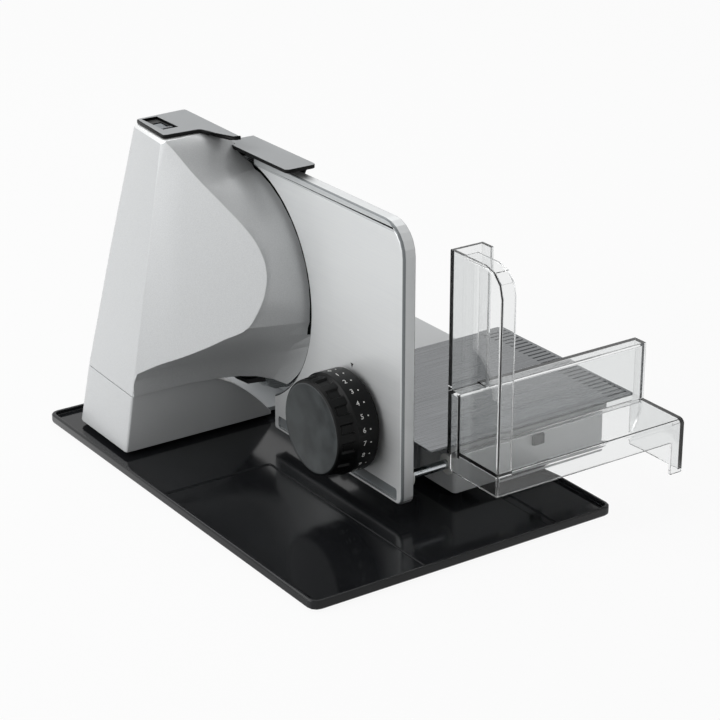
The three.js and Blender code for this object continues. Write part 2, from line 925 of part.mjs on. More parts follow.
function makeTub() {
  const left = base.leftFrontFoot - overrun;
  const low = base.bottom - overrun;
  const high = baseTop + overrun;
  const outerSide = [[left, low], [base.rampToeX, low], ...[...rampPoints].reverse(),
    [base.rampStartX, high], [left, high]];
  const floor = base.bottom + base.floor;
  const innerRamp = rampPoints.map((p, i) => {
    const ahead = rampPoints[Math.min(i + 1, rampSteps)];
    const behind = rampPoints[Math.max(i - 1, 0)];
    return plus(p, leftOf(unit(minus(behind, ahead))), base.wall);
  }).filter(([, z]) => z > floor + clearance);
  const mouth = base.rampStartX - base.wall;
  const innerSide = [[left, floor], [innerRamp.at(-1)[0], floor], ...innerRamp.reverse(),
    [mouth, innerRamp.at(-1)[1]], [mouth, high], [left, high]];
  const levels = [base.bottom, baseTop];
  const outer = loft('z', levels.map((z) => ({ at: z, outline: tubOutline(z) })));
  const inner = loft('z', [low, high].map((z, i) =>
    ({ at: z, outline: tubOutline(levels[i], base.wall) })));
  const reach = (outline, grow) => prism('y', outline, tower.frontFootY - grow,
    backRightFootY + base.backCorner + grow);
  const body = outer.intersect(reach(outerSide, overrun));
  return without(body, inner.intersect(reach(innerSide, overrun)), glandBore());
}

// The gland in the back wall, square to the wall.
const glandWallX = mix(base.leftBackFoot, tower.backLeftFootX, between(base.bottom, baseTop,
  gland.z - gland.radius));
const glandY = tower.backLeftFootY + backSlope * (gland.x - glandWallX);
const glandAngle = Math.atan(backSlope);

function glandBore() {
  const geometry = new THREE.CylinderGeometry(gland.bodyRadius + clearance,
    gland.bodyRadius + clearance, 2 * (base.wall + overrun), smallRoundSteps);
  geometry.rotateZ(glandAngle);
  geometry.translate(gland.x, glandY, gland.z);
  return solid(geometry);
}

place('housing_base', makeTub(), silverPaint());

const cableGland = turned('y', [
  [gland.bore, -gland.bodyLength],
  [gland.bodyRadius, -gland.bodyLength],
  [gland.bodyRadius, clearance],
  [gland.radius, clearance],
  [gland.radius, clearance + gland.collarLength / 2],
  [gland.bodyRadius, clearance + gland.collarLength],
  [gland.bore, clearance + gland.collarLength],
  [gland.bore, -gland.bodyLength],
], [0, 0], smallRoundSteps);
const glandMesh = place('cable_gland', cableGland, blackRubber());
glandMesh.position.set(gland.x, glandY, gland.z);
glandMesh.rotation.z = glandAngle;

// The bed that carries the carriage, and the plate that ties it to the housing.
// Its rail lies in a trough, below the top on which the carriage's rollers run.
const railZ = bed.top - rail.sink - rail.radius;
const troughFloor = bed.top - rail.troughDepth;
const railFront = bed.front + bed.wall + clearance;
const railBack = bedBack - bed.wall - clearance;

function makeBed() {
  const shell = layered('z', rectangle(bed.left, bed.front, bed.right, bedBack, bed.corner), [
    [bed.bottom, 0], [bed.top - bed.chamfer, 0], [bed.top, bed.chamfer],
  ]);
  const within = (x0, x1, gap, from, to) => prism('z',
    rectangle(x0, bed.front + gap, x1, bedBack - gap), from, to);
  const hollow = within(bed.left + bed.wall, bed.right - bed.wall, bed.wall,
    bed.bottom - overrun, bed.top - bed.wall);
  const half = rail.troughHalfWidth;
  const troughOuter = half + rail.troughWall;
  const trough = within(rail.x - troughOuter, rail.x + troughOuter, bed.wall / 2,
    troughFloor - rail.troughWall, bed.top - bed.wall / 2);
  const slot = within(rail.x - half, rail.x + half, bed.wall, troughFloor, bed.top + overrun);
  const boss = cylinder('z', bed.bossRadius, bed.bottom, bed.top - bed.wall / 2,
    [machineFoot.bedX, machineFoot.bedFrontY], smallRoundSteps);
  const bore = (y) => cylinder('x', rods.bushRadius + clearance, bed.left - overrun,
    bed.left + rods.bushLength + overrun, [y, rods.z], smallRoundSteps);
  return without(joined(without(shell, hollow), trough, boss), slot, bore(rods.frontY),
    bore(rods.rearY));
}

place('carriage_base', makeBed(), silverPaint());

const tiePlateTop = bed.bottom - clearance;
const tiePlate = layered('z', rectangle(base.rampToeX + clearance, tiePlateBack - bed.plateDepth,
  bed.right - bed.plateRightInset, tiePlateBack, base.frontCorner),
[[base.bottom, 0], [tiePlateTop, 0]]);
place('floor_plate', tiePlate, satinAnthracite());

const buffer = layered('y', rectangle(bed.bufferLeft, bed.top - bed.bufferHeight,
  bed.bufferRight, bed.top - bed.chamfer, bed.chamfer),
[[bed.front - clearance - bed.bufferDepth, bed.chamfer / 2],
  [bed.front - clearance - bed.chamfer / 2, 0], [bed.front - clearance, 0]]);
place('front_buffer', buffer, matteBlack());

const footRest = trayFloor + clearance;
const machineFeet = [
  [machineFoot.leftX, machineFoot.frontY, base.bottom],
  [machineFoot.leftX, machineFoot.backY, base.bottom],
  [machineFoot.bedX, machineFoot.bedFrontY, bed.bottom],
  [machineFoot.bedX, bedBack - machineFoot.bedBackInset, base.bottom],
];
for (const [i, [x, y, top]] of machineFeet.entries()) {
  const foot = pin('z', machineFoot.radius, footRest, top - clearance, tray.rimChamfer);
  place(`machine_foot_${i + 1}`, foot, blackRubber()).position.set(x, y, 0);
}

// The cover on the tower, the switch under it and the lid over the blade.
const coverBottom = towerTop + clearance;
const coverTop = coverBottom + cover.thickness;
const rockerAxis = addGroup(machine, 0, rocker.pivotY, coverTop - rocker.pivotDrop);

function makeCover() {
  const outline = outlineOf([
    [cover.frontLeftX, cover.frontLeftY, cover.corner],
    [cover.frontRightX, cover.frontRightY, cover.corner / 2],
    [cover.notchX, cover.notchY, cover.corner / 2],
    [cover.noseLeftX, cover.noseLeftY, cover.corner / 2],
    [cover.noseRightX, cover.noseRightY, cover.corner / 2],
    [cover.backRightX, cover.backRightY, cover.corner],
    [cover.backLeftX, cover.backLeftY, cover.corner],
  ]);
  const body = layered('z', outline, [
    [coverBottom, 0], [coverTop - cover.chamfer, 0], [coverTop, cover.chamfer],
  ]);
  return without(body, switchHole(coverBottom - overrun, coverTop + overrun));
}

place('top_cover', makeCover(), satinAnthracite());

function makeSwitchBody() {
  const top = coverTop - rocker.wellDrop;
  const pocket = rectangle(rocker.wellLeft + rocker.pocketWall, rocker.pocketFront,
    rocker.wellRight - rocker.pocketWall, rocker.pocketBack);
  return without(switchHole(coverTop - rocker.bodyDepth, top, clearance),
    prism('z', pocket, coverTop - rocker.pocketDepth, top + overrun));
}

place('switch_body', makeSwitchBody(), matteBlack());

const rockerOutline = [
  [-rocker.heelHalf, -rocker.heelDrop],
  [rocker.heelHalf, -rocker.heelDrop],
  [rocker.halfLength, rocker.skirtDrop],
  [rocker.halfLength, rocker.tipRise],
  [0, rocker.middleRise],
  [-rocker.halfLength, rocker.tipRise],
  [-rocker.halfLength, rocker.skirtDrop],
];
const rockerMiddle = (rocker.wellLeft + rocker.wellRight) / 2;
const rockerMesh = place('switch_rocker',
  prism('x', rockerOutline, -rocker.width / 2, rocker.width / 2), greyPlastic(), rockerAxis);
rockerMesh.position.x = rockerMiddle;
rockerMesh.rotation.x = -radians(rocker.tilt);

function makeLid() {
  const under = bladeTop + lid.rise;
  const top = under + lid.thickness;
  const seatBottom = bladeTop + lid.seatRise;
  const webBottom = bladeTop - lid.webDrop;
  const roof = prism('z', outlineOf([
    [lid.left, lid.front, lid.corner], [lid.right, lid.front, lid.corner],
    [lid.right, lid.roofBack], [lid.left, lid.roofBack],
  ]), under, top);
  const leanZ = mix(shoulderZ, towerTop, leanShares[1][0]);
  const seat = prism('y', [
    [rightWallX(seatBottom) + clearance, seatBottom],
    [lid.right, seatBottom],
    [lid.right, top],
    [rightWallX(top) + clearance, top],
    [rightWallX(leanZ) + clearance, leanZ],
  ], lid.seatFront, lid.back);
  const web = prism('x', outlineOf([
    [lid.webFront, under, lid.corner], [lid.webFront + lid.webSlope, webBottom, lid.corner],
    [lid.back, webBottom, lid.corner], [lid.back, top], [lid.webFront, top],
  ]), lid.right - lid.webThickness, lid.right);
  const slope = prism('x', [
    [lid.roofBack, top], [lid.back, top - lid.backDrop], [lid.back + overrun, top],
    [lid.back, top + overrun], [lid.roofBack, top + overrun],
  ], lid.left - overrun, lid.right + overrun);
  const beside = towerLevels.filter((z) => z > seatBottom - overrun);
  const towerSide = loft('z', beside.map((z) =>
    ({ at: z, outline: insetOutline(towerOutline(z), -clearance) })));
  return without(joined(roof, seat, web), towerSide, slope);
}

place('blade_lid', makeLid(), satinAnthracite());

// The blade and its drive, about the blade's axis.
const carrierRight = tower.rightX - carrier.recess;
const carrierLeft = carrierRight - carrier.thickness;
const bearingRadius = drive.axleRadius + clearance + drive.bearingWall;
const bladeLeft = blade.cutPlane - blade.thickness;
const seatLeft = bladeLeft - blade.dishDepth;
const axleFlangeLeft = carrierRight + clearance;

function makeCarrier() {
  const radius = openingRadius - clearance;
  const bossRadius = bearingRadius + clearance + drive.bossWall;
  const bossLeft = drive.bearingLeft + drive.bearingFlange + clearance;
  const disc = cylinder('x', radius, carrierLeft, carrierRight);
  const rim = tube('x', radius - carrier.rimWidth, radius, carrier.rimLeft,
    carrierLeft + clearance);
  const boss = cylinder('x', bossRadius, bossLeft, carrierLeft + clearance);
  const ribs = Array.from({ length: ribCount }, (_, i) => {
    const angle = (360 * i) / ribCount;
    const half = carrier.ribThickness / 2;
    const corners = rectangle(bossRadius - half, -half, radius - half, half);
    const turnedCorners = corners.map(([a, b]) =>
      plus(polar(a, angle), polar(b, angle + 90)));
    return prism('x', turnedCorners, wormX + cradleOuter + clearance, carrierLeft + clearance);
  });
  const fitted = bladeRecess(tower.wall + clearance, radius, bossLeft - overrun,
    [blade.axisY, bladeAxisZ]);
  const wheel = joined(disc, rim, ...ribs).intersect(fitted);
  return without(joined(wheel, boss),
    cylinder('x', bearingRadius + clearance, bossLeft - overrun, carrierRight + overrun));
}

place('blade_carrier', makeCarrier(), matteBlack(), bladeAxis);

const bearingRight = carrierRight - clearance;
place('axle_bearing', turned('x', [
  [drive.axleRadius + clearance, drive.bearingLeft],
  [drive.bearingFlangeRadius, drive.bearingLeft],
  [drive.bearingFlangeRadius, drive.bearingLeft + drive.bearingFlange],
  [bearingRadius, drive.bearingLeft + drive.bearingFlange],
  [bearingRadius, bearingRight],
  [drive.axleRadius + clearance, bearingRight],
  [drive.axleRadius + clearance, drive.bearingLeft],
], [0, 0], smallRoundSteps * 2), castMetal(), bladeAxis);

const spigotEnd = seatLeft + blade.thickness;
place('blade_axle', turned('x', [
  [0, drive.axleLeft],
  [drive.axleRadius, drive.axleLeft],
  [drive.axleRadius, axleFlangeLeft],
  [drive.axleFlangeRadius, axleFlangeLeft],
  [drive.axleFlangeRadius, seatLeft - clearance],
  [drive.axleRadius, seatLeft - clearance],
  [drive.axleRadius, spigotEnd],
  [0, spigotEnd],
], [0, 0], smallRoundSteps * 2), polishedSteel(), bladeAxis);

// The blade is a shallow dish with a ground, waved edge.
function makeBlade() {
  const wavedRim = (radius, depth) => Array.from({ length: waveCount * 4 }, (_, i) =>
    polar(radius - depth * (1 - Math.cos((i * Math.PI) / 2)) / 2, (360 * i) / (waveCount * 4)));
  const rim = loft('x', [
    { at: bladeLeft, outline: wavedRim(blade.radius - blade.bevel, 0) },
    { at: blade.cutPlane - blade.edge, outline: wavedRim(blade.radius, blade.wave) },
    { at: blade.cutPlane, outline: wavedRim(blade.radius, blade.wave) },
  ]);
  const joinRadius = dishRadius + blade.bevel;
  const dish = turned('x', [
    [drive.axleRadius + clearance, seatLeft],
    [blade.seatRadius, seatLeft],
    [dishRadius, bladeLeft],
    [joinRadius, bladeLeft],
    [joinRadius, blade.cutPlane],
    [dishRadius, blade.cutPlane],
    [blade.seatRadius, seatLeft + blade.thickness],
    [drive.axleRadius + clearance, seatLeft + blade.thickness],
    [drive.axleRadius + clearance, seatLeft],
  ]);
  const middle = cylinder('x', joinRadius - blade.bevel / 2, bladeLeft - overrun,
    blade.cutPlane + overrun);
  return joined(without(rim, middle), dish);
}

place('blade', makeBlade(), polishedSteel(), bladeAxis);

function makeLock() {
  const left = spigotEnd + clearance;
  const right = left + blade.lockHeight;
  const cap = pin('x', blade.lockRadius, left, right, blade.edge * 2, [0, 0], roundSteps);
  const [half, end] = [blade.lockSlotWidth / 2, blade.lockSlotLength / 2];
  return without(cap, prism('x', rectangle(-end, -half, end, half),
    right - blade.lockSlotDepth, right + overrun));
}

place('blade_lock', makeLock(), matteBlack(), bladeAxis);

// The worm gear: a wheel on the axle and a one-start worm on the motor's shaft.
const toothRise = drive.module - drive.tipClearance / 2;
const toothFall = drive.module + drive.tipClearance / 2;

function gearOutline(twist) {
  const step = 360 / gearTeeth;
  const halfTip = (step * toothTipShare) / 2;
  const halfPitch = step / 4 - (drive.backlash / gearRadius) * (180 / Math.PI);
  const halfRoot = 2 * halfPitch - halfTip;
  return Array.from({ length: gearTeeth }, (_, i) => {
    const middle = step * (i + 0.5) + twist;
    return [
      polar(gearRadius - toothFall, middle - halfRoot),
      polar(gearRadius + toothRise, middle - halfTip),
      polar(gearRadius + toothRise, middle + halfTip),
      polar(gearRadius - toothFall, middle + halfRoot),
    ];
  }).flat();
}

function makeGear() {
  const right = drive.gearLeft + drive.gearWidth;
  const twist = ((drive.gearWidth / 2) * (wormPitch / (2 * Math.PI)))
    / (drive.wormPitchRadius * gearRadius) * (180 / Math.PI);
  const rim = loft('x', [
    { at: drive.gearLeft, outline: gearOutline(-twist) },
    { at: right, outline: gearOutline(twist) },
  ]);
  const webOuter = gearRadius - toothFall - drive.rimWall;
  const web = (from, to) => tube('x', drive.webInner, webOuter, from, to, [0, 0],
    smallRoundSteps * 2);
  const hub = cylinder('x', drive.hubRadius, drive.gearLeft - drive.hubOverhang,
    right + drive.hubOverhang - clearance, [0, 0], smallRoundSteps * 2);
  return without(joined(rim, hub), web(drive.gearLeft - overrun, drive.gearLeft + drive.webDepth),
    web(right - drive.webDepth, right + overrun),
    cylinder('x', drive.axleRadius + clearance, drive.gearLeft - overrun * 2,
      right + overrun * 2, [0, 0], smallRoundSteps * 2));
}

place('drive_gear', makeGear(), gearPlastic(), bladeAxis);

const motorTop = -drive.wormHalfLength - drive.wormToMotor;

function makeWorm() {
  const root = drive.wormPitchRadius - toothFall;
  const tip = drive.wormPitchRadius + toothRise;
  const half = drive.wormHalfLength;
  const body = turned('z', [
    [0, motorTop + clearance], [drive.wormShaftRadius, motorTop + clearance],
    [drive.wormShaftRadius, -half], [root, -half], [root, half],
    [drive.wormShaftRadius, half], [drive.wormShaftRadius, drive.wormShaftTop],
    [0, drive.wormShaftTop],
  ], [0, 0], wormTurnSteps);
  const turns = (2 * half) / wormPitch - 1;
  const steps = Math.round(turns * wormTurnSteps);
  const halfPitch = wormPitch / 4 - drive.backlash;
  const halfTip = halfPitch * threadTipShare;
  const halfRoot = 2 * halfPitch - halfTip;
  const rings = Array.from({ length: steps + 1 }, (_, i) => {
    const turn = (i / steps - 0.5) * turns;
    const angle = turn * 360 - 90;
    const z = turn * wormPitch;
    const point = (radius, rise) => [...polar(radius, angle), z + rise];
    const inside = root - clearance;
    return [point(inside, -halfRoot), point(tip, -halfTip), point(tip, halfTip),
      point(inside, halfRoot)];
  });
  const cap = [[0, 1, 2], [0, 2, 3]];
  return joined(body, solid(ringMesh(rings, cap, cap, true)));
}

place('worm_shaft', makeWorm(), polishedSteel(), wormAxis);

const cradleBottom = tower.bottom + tower.wall + clearance - bladeAxisZ;
const cradleFloor = cradleBottom + drive.cradleFloor;
const motorBottom = cradleFloor + clearance;
place('motor_can', pin('z', drive.motorRadius, motorBottom, motorTop, drive.hubOverhang,
  [0, 0], smallRoundSteps * 2), castMetal(), wormAxis);

place('motor_cradle', turned('z', [
  [0, cradleBottom], [cradleOuter, cradleBottom],
  [cradleOuter, cradleBottom + drive.cradleHeight],
  [drive.motorRadius + clearance, cradleBottom + drive.cradleHeight],
  [drive.motorRadius + clearance, cradleFloor], [0, cradleFloor],
], [0, 0], smallRoundSteps * 2), matteBlack(), wormAxis);

// The stop plate, measured from its right face, with its rods, collar and knob. Its tongue
// ends short of the ledge beside the tower's edge.
const tongueEnd = bladeEdge(bladeTop + plate.bladeGap)[1] + tower.ledge - plate.tongueGap;

function plateOutline() {
  const radius = blade.radius + plate.bladeGap;
  const centre = [blade.axisY, bladeAxisZ];
  const lowAngle = 180 + THREE.MathUtils.radToDeg(
    Math.acos(plate.backInset / radius));
  const highAngle = 180 - THREE.MathUtils.radToDeg(
    Math.acos((blade.axisY - tongueEnd) / radius));
  const outer = outlineOf([
    [plate.front, plate.bottom, plate.bottomCorner],
    [plateBack, plate.bottom],
  ]);
  return [
    ...roundCorner([plate.front, plateTop], [plate.front, plate.bottom],
      [plateBack, plate.bottom], plate.bottomCorner),
    outer.at(-1),
    ...arc(centre, radius, lowAngle, highAngle, plateArcSteps),
    [tongueEnd, plateTop],
    ...roundCorner([tongueEnd, plateTop], [plate.front, plateTop],
      [plate.front, plate.bottom], plate.topCorner, 2 * cornerSteps),
  ];
}

function makePlate() {
  const left = -plate.thickness;
  const body = layered('x', plateOutline(), [
    [left, plate.rimRound],
    [left + plate.rimDepth / 4, plate.rimRound / 3],
    [left + plate.rimDepth, 0],
    [0, 0],
  ]);
  const stripBottom = plateTop - plate.stripHeight;
  const strip = prism('y', [
    [left - overrun, stripBottom], [left, stripBottom],
    [left + plate.stripDepth, plateTop], [left + plate.stripDepth, plateTop + overrun],
    [left - overrun, plateTop + overrun],
  ], plate.front - overrun, tongueEnd + overrun);
  const groove = prism('x', rectangle(plate.front + plate.grooveEnd, plate.bottom + plate.lip,
    plateBack - plate.grooveEnd, plate.bottom + plate.lip + plate.grooveHeight, plate.lip / 2),
  left - overrun, left + plate.grooveDepth);
  const socket = (y) => cylinder('x', rods.radius + clearance, -plate.socketDepth, overrun,
    [y, rods.z], smallRoundSteps);
  const gap = bracket.armWidth / 2 + clearance;
  const slot = prism('x', rectangle(knob.axisY - gap, bracket.armBottom - clearance,
    knob.axisY + gap, bracket.armBottom + bracket.armHeight + clearance),
  left - overrun, overrun);
  return without(body, strip, groove, socket(rods.frontY), socket(rods.rearY), slot);
}

place('stop_plate', makePlate(), plateSilver(), slidePlate);

for (const [name, y] of [['front', rods.frontY], ['rear', rods.rearY]]) {
  const rodBody = pin('x', rods.radius, clearance - plate.socketDepth, rods.reach,
    rods.bushFlange / 2);
  place(`${name}_rod`, rodBody, polishedSteel(), slidePlate).position.set(0, y, rods.z);
  const ferrule = turned('x', [
    [rods.radius + clearance, clearance],
    [rods.ferruleRadius, clearance],
    [rods.ferruleRadius, rods.ferruleLength],
    [rods.ferruleRadius - rods.bushFlange, rods.ferruleLength + clearance],
    [rods.radius + clearance, rods.ferruleLength + clearance],
    [rods.radius + clearance, clearance],
  ], [0, 0], smallRoundSteps);
  place(`${name}_rod_ferrule`, ferrule, whitePlastic(), slidePlate).position.set(0, y, rods.z);
  const bush = turned('x', [
    [rods.radius + clearance, -clearance - rods.bushFlange],
    [rods.bushFlangeRadius, -clearance - rods.bushFlange],
    [rods.bushFlangeRadius, -clearance],
    [rods.bushRadius, -clearance],
    [rods.bushRadius, rods.bushLength],
    [rods.radius + clearance, rods.bushLength],
    [rods.radius + clearance, -clearance - rods.bushFlange],
  ], [0, 0], smallRoundSteps);
  place(`${name}_guide_bush`, bush, whitePlastic()).position.set(bed.left, y, rods.z);
}

// The knob is hollow and turns on the collar, which snaps into a groove in its wall.
const knobInner = knob.backRadius - knob.wall;
const beadRadius = knobInner - clearance + collar.bead;
const collarEnd = -plate.thickness - clearance - collar.height;
const beadMiddle = collarEnd + collar.beadWidth;

function makeKnob() {
  const back = knobX + knob.length;
  const scaleStart = back - knob.scaleLength;
  const inside = knobX + knob.faceThickness;
  const grooveHalf = collar.beadWidth / 2 + clearance;
  const body = turned('x', [
    ...dishShares.map(([out, deep]) => [knob.ringRadius * out, knobX + knob.dish * deep]),
    [knob.faceRadius - knob.edgeRound, knobX + knob.edgeRound / 4],
    [knob.faceRadius, knobX + knob.edgeRound],
    [knob.gripRadius, scaleStart - knob.edgeRound],
    [knob.backRadius - knob.edgeRound / 2, scaleStart],
    [knob.backRadius, back],
    [knobInner, back],
    [knobInner, beadMiddle + grooveHalf],
    [beadRadius + clearance, beadMiddle + collar.beadWidth / 4],
    [beadRadius + clearance, beadMiddle - collar.beadWidth / 4],
    [knobInner, beadMiddle - grooveHalf],
    [knobInner, inside],
    [knob.spindleRadius + clearance, inside],
    [knob.spindleRadius + clearance, inside - knob.socketDepth],
    [0, inside - knob.socketDepth],
  ]);
  const from = knobX + knob.edgeRound * 2;
  const to = scaleStart - knob.edgeRound * 2;
  const grips = Array.from({ length: gripCount }, (_, i) => {
    const angle = (360 * (i + 0.5)) / gripCount;
    const depth = knob.gripRadius - knob.gripDepth;
    const corners = [[depth, -knob.gripWidth / 2], [depth + overrun, -knob.gripWidth / 2],
      [depth + overrun, knob.gripWidth / 2], [depth, knob.gripWidth / 2]];
    return prism('x', corners.map(([a, b]) => plus(polar(a, angle), polar(b, angle + 90))),
      from, to);
  });
  return without(body, ...grips);
}

place('knob', makeKnob(), matteBlack(), knobAxis);

const spindleStart = knobX + knob.faceThickness - knob.socketDepth + clearance;
place('knob_spindle', pin('x', knob.spindleRadius, spindleStart, knobX + knob.length,
  rods.bushFlange / 2), polishedSteel(), knobAxis);

function makeCollar() {
  const inner = knobInner - clearance - collar.wall;
  const outer = knobInner - clearance;
  const ring = turned('x', [
    [inner, collarEnd],
    [outer, collarEnd],
    [outer, beadMiddle - collar.beadWidth / 2],
    [beadRadius, beadMiddle - collar.beadWidth / 4],
    [beadRadius, beadMiddle + collar.beadWidth / 4],
    [outer, beadMiddle + collar.beadWidth / 2],
    [outer, -plate.thickness - clearance],
    [inner, -plate.thickness - clearance],
    [inner, collarEnd],
  ]);
  const notch = prism('x', rectangle(-collar.notchWidth / 2, -beadRadius - overrun,
    collar.notchWidth / 2, 0), collarEnd - overrun, 0);
  return without(ring, notch);
}

place('knob_collar', makeCollar(), matteBlack(), knobAxis);

// The bracket that holds the knob's nut still: it reaches through the plate's slot.
function makeBracket() {
  const half = bracket.armWidth / 2;
  const [y0, y1] = [knob.axisY - half, knob.axisY + half];
  const armTop = bracket.armBottom + bracket.armHeight;
  const nutEnd = bracket.nutX + bracket.nutLength;
  const footEnd = bed.left - clearance;
  const nut = cylinder('x', bracket.nutRadius, bracket.nutX, nutEnd, [knob.axisY, knob.axisZ],
    smallRoundSteps * 2);
  const post = box(bracket.nutX, y0, bracket.armBottom, nutEnd, y1, knob.axisZ);
  const arm = box(bracket.nutX, y0, bracket.armBottom, footEnd, y1, armTop);
  const foot = prism('x', rectangle(knob.axisY - bracket.footWidth / 2, bracket.footBottom,
    knob.axisY + bracket.footWidth / 2, bracket.footTop, bed.chamfer * 2),
  footEnd - bracket.footThickness, footEnd);
  return without(joined(arm, post, nut, foot), cylinder('x', knob.spindleRadius + clearance,
    bracket.nutX - overrun, nutEnd + overrun, [knob.axisY, knob.axisZ]));
}

place('spindle_bracket', makeBracket(), castMetal());

// The carriage: a steel sheet on a frame that slides on the rail and rolls on the bed.
const sheetBottom = sheet.top - sheet.thickness;
const frameTop = sheetBottom - clearance;
const frameBottom = frameTop - frame.thickness;
const frameBack = sheet.front + frame.depth;
const rollerZ = bed.top + clearance + roller.radius;

function makeSheet() {
  const outline = rectangle(sheet.left, sheet.front, sheet.right, sheet.back, sheet.corner);
  const body = prism('z', outline, sheetBottom, sheet.top);
  const count = Math.floor((sheet.back - sheet.front - sheet.rungPitch) / sheet.rungPitch);
  const rungs = Array.from({ length: count }, (_, i) => {
    const y = sheet.front + sheet.rungPitch * (i + 1);
    return box(sheet.rungLeft, y - sheet.rungWidth / 2, sheet.top - sheet.rungDepth,
      sheet.rungRight, y + sheet.rungWidth / 2, sheet.top + overrun);
  });
  return without(body, ...rungs);
}

place('carriage_sheet', makeSheet(), sheetSteel(), carriage);

function makeFrame() {
  const slab = prism('z', outlineOf([
    [frame.left, sheet.front], [frame.right, sheet.front, frame.corner],
    [frame.right, frameBack, frame.corner], [frame.left, frameBack, frame.corner],
  ]), frameBottom, frameTop);
  const forkIn = roller.width / 2 + clearance;
  const forkOut = forkIn + roller.forkThickness;
  const forkBottom = rollerZ - roller.pinRadius - clearance - roller.forkThickness / 2;
  const forks = [roller.frontY, roller.rearY].flatMap((y) =>
    [[-forkOut, -forkIn], [forkIn, forkOut]].map(([from, to]) => box(
      roller.x + from, y - roller.forkHalfDepth, forkBottom,
      roller.x + to, y + roller.forkHalfDepth, frameBottom + clearance)));
  const wells = [roller.frontY, roller.rearY].map((y) => {
    const reach = roller.radius + clearance * 2;
    return box(roller.x - forkIn, y - reach, frameBottom - overrun, roller.x + forkIn,
      y + reach, frameBottom + overrun);
  });
  const bores = [roller.frontY, roller.rearY].map((y) => cylinder('x',
    roller.pinRadius + clearance, roller.x - forkOut - overrun, roller.x + forkOut + overrun,
    [y, rollerZ], smallRoundSteps));
  return without(joined(slab, ...forks), ...wells, ...bores);
}

place('carriage_frame', makeFrame(), silverPaint(), carriage);

for (const [name, y] of [['front', roller.frontY], ['rear', roller.rearY]]) {
  const wheel = tube('x', roller.pinRadius + clearance, roller.radius, -roller.width / 2,
    roller.width / 2, [0, 0], smallRoundSteps);
  const wheelMesh = place(`${name}_roller`, wheel, whitePlastic(), carriage);
  wheelMesh.position.set(roller.x, y, rollerZ);
  const rollerPin = pin('x', roller.pinRadius, -roller.pinLength / 2, roller.pinLength / 2,
    clearance, [0, 0], smallRoundSteps);
  const pinMesh = place(`${name}_roller_pin`, rollerPin, polishedSteel(), carriage);
  pinMesh.position.set(roller.x, y, rollerZ);
}

for (const [name, y] of [['front', rail.shoeFront], ['rear', rail.shoeRear]]) {
  const half = rail.shoeHalfWidth;
  const block = layered('y', rectangle(rail.x - half, railZ - rail.shoeLip, rail.x + half,
    frameBottom - clearance), [[y, 0], [y + rail.shoeLength, 0]]);
  const bore = cylinder('y', rail.radius + clearance, y - overrun,
    y + rail.shoeLength + overrun, [rail.x, railZ], smallRoundSteps);
  place(`${name}_rail_shoe`, without(block, bore), whitePlastic(), carriage);
}

place('guide_rail', pin('y', rail.radius, railFront, railBack, clearance * 2,
  [rail.x, railZ]), polishedSteel());

for (const [name, y] of [['front', railFront], ['rear', railBack - rail.mountLength]]) {
  const half = rail.troughHalfWidth - clearance;
  const block = box(rail.x - half, y, troughFloor + clearance, rail.x + half,
    y + rail.mountLength, railZ);
  const seat = cylinder('y', rail.radius + clearance, y - overrun,
    y + rail.mountLength + overrun, [rail.x, railZ], smallRoundSteps);
  place(`${name}_rail_mount`, without(block, seat), castMetal());
}

// The clear moulding: shelf, fence, tall finger guard, skirt, leg and end panel in one.
function makeGuard() {
  const wall = guard.wall;
  const cheek = prism('x', outlineOf([
    [guard.front, guard.skirtBottom], [guard.cheekBack, guard.skirtBottom, wall],
    [guard.cheekBack, guard.cheekStep], [guard.fenceBack, guard.cheekStep],
    [guard.fenceBack, guard.towerTop], [guard.front, guard.towerTop, guard.towerCorner],
  ]), guard.left, guard.left + wall);
  const shelfUnder = guard.shelfTop - wall;
  const flangeRight = guard.left + guard.flangeWidth;
  const flange = without(
    prism('x', outlineOf([
      [guard.front, shelfUnder], [guard.flangeBack, shelfUnder],
      [guard.flangeBack, guard.towerTop], [guard.front, guard.towerTop, guard.towerCorner],
    ]), guard.left, flangeRight),
    prism('x', outlineOf([
      [guard.front + wall, shelfUnder - overrun], [guard.flangeBack + overrun,
        shelfUnder - overrun],
      [guard.flangeBack + overrun, guard.towerTop - wall],
      [guard.front + wall, guard.towerTop - wall, guard.towerCorner - wall],
    ]), guard.left + wall, flangeRight + overrun),
  );
  const shelf = prism('x', outlineOf([
    [guard.front, guard.skirtBottom], [guard.front + wall, guard.skirtBottom],
    [guard.front + wall, shelfUnder, guard.shelfCorner - wall],
    [guard.fenceFront + wall, shelfUnder], [guard.fenceFront + wall, guard.shelfTop],
    [guard.front, guard.shelfTop, guard.shelfCorner],
  ]), guard.left, guard.right);
  const fence = without(
    box(guard.left, guard.fenceFront, guard.skinBottom, guard.right, guard.fenceBack,
      guard.fenceTop),
    box(guard.left + wall, guard.fenceFront + wall, guard.skinBottom - overrun,
      guard.right - wall, guard.fenceBack - wall, guard.fenceTop - wall),
  );
  const backPanel = box(guard.left, guard.fenceBack - wall, guard.skinBottom,
    guard.returnRight, guard.fenceBack, guard.towerTop);
  const returnWall = box(guard.returnRight - wall, guard.fenceFront, guard.fenceTop - wall,
    guard.returnRight, guard.fenceBack, guard.towerTop);
  const leg = box(guard.right - guard.legWidth, guard.front, guard.legBottom, guard.right,
    guard.front + wall, shelfUnder);
  const endPanel = box(guard.right - wall, guard.front, guard.legBottom + guard.panelRise,
    guard.right, guard.fenceBack, shelfUnder);
  return joined(cheek, flange, shelf, fence, backPanel, returnWall, leg, endPanel);
}

place('carriage_guard', makeGuard(), clearPlastic(), carriage);

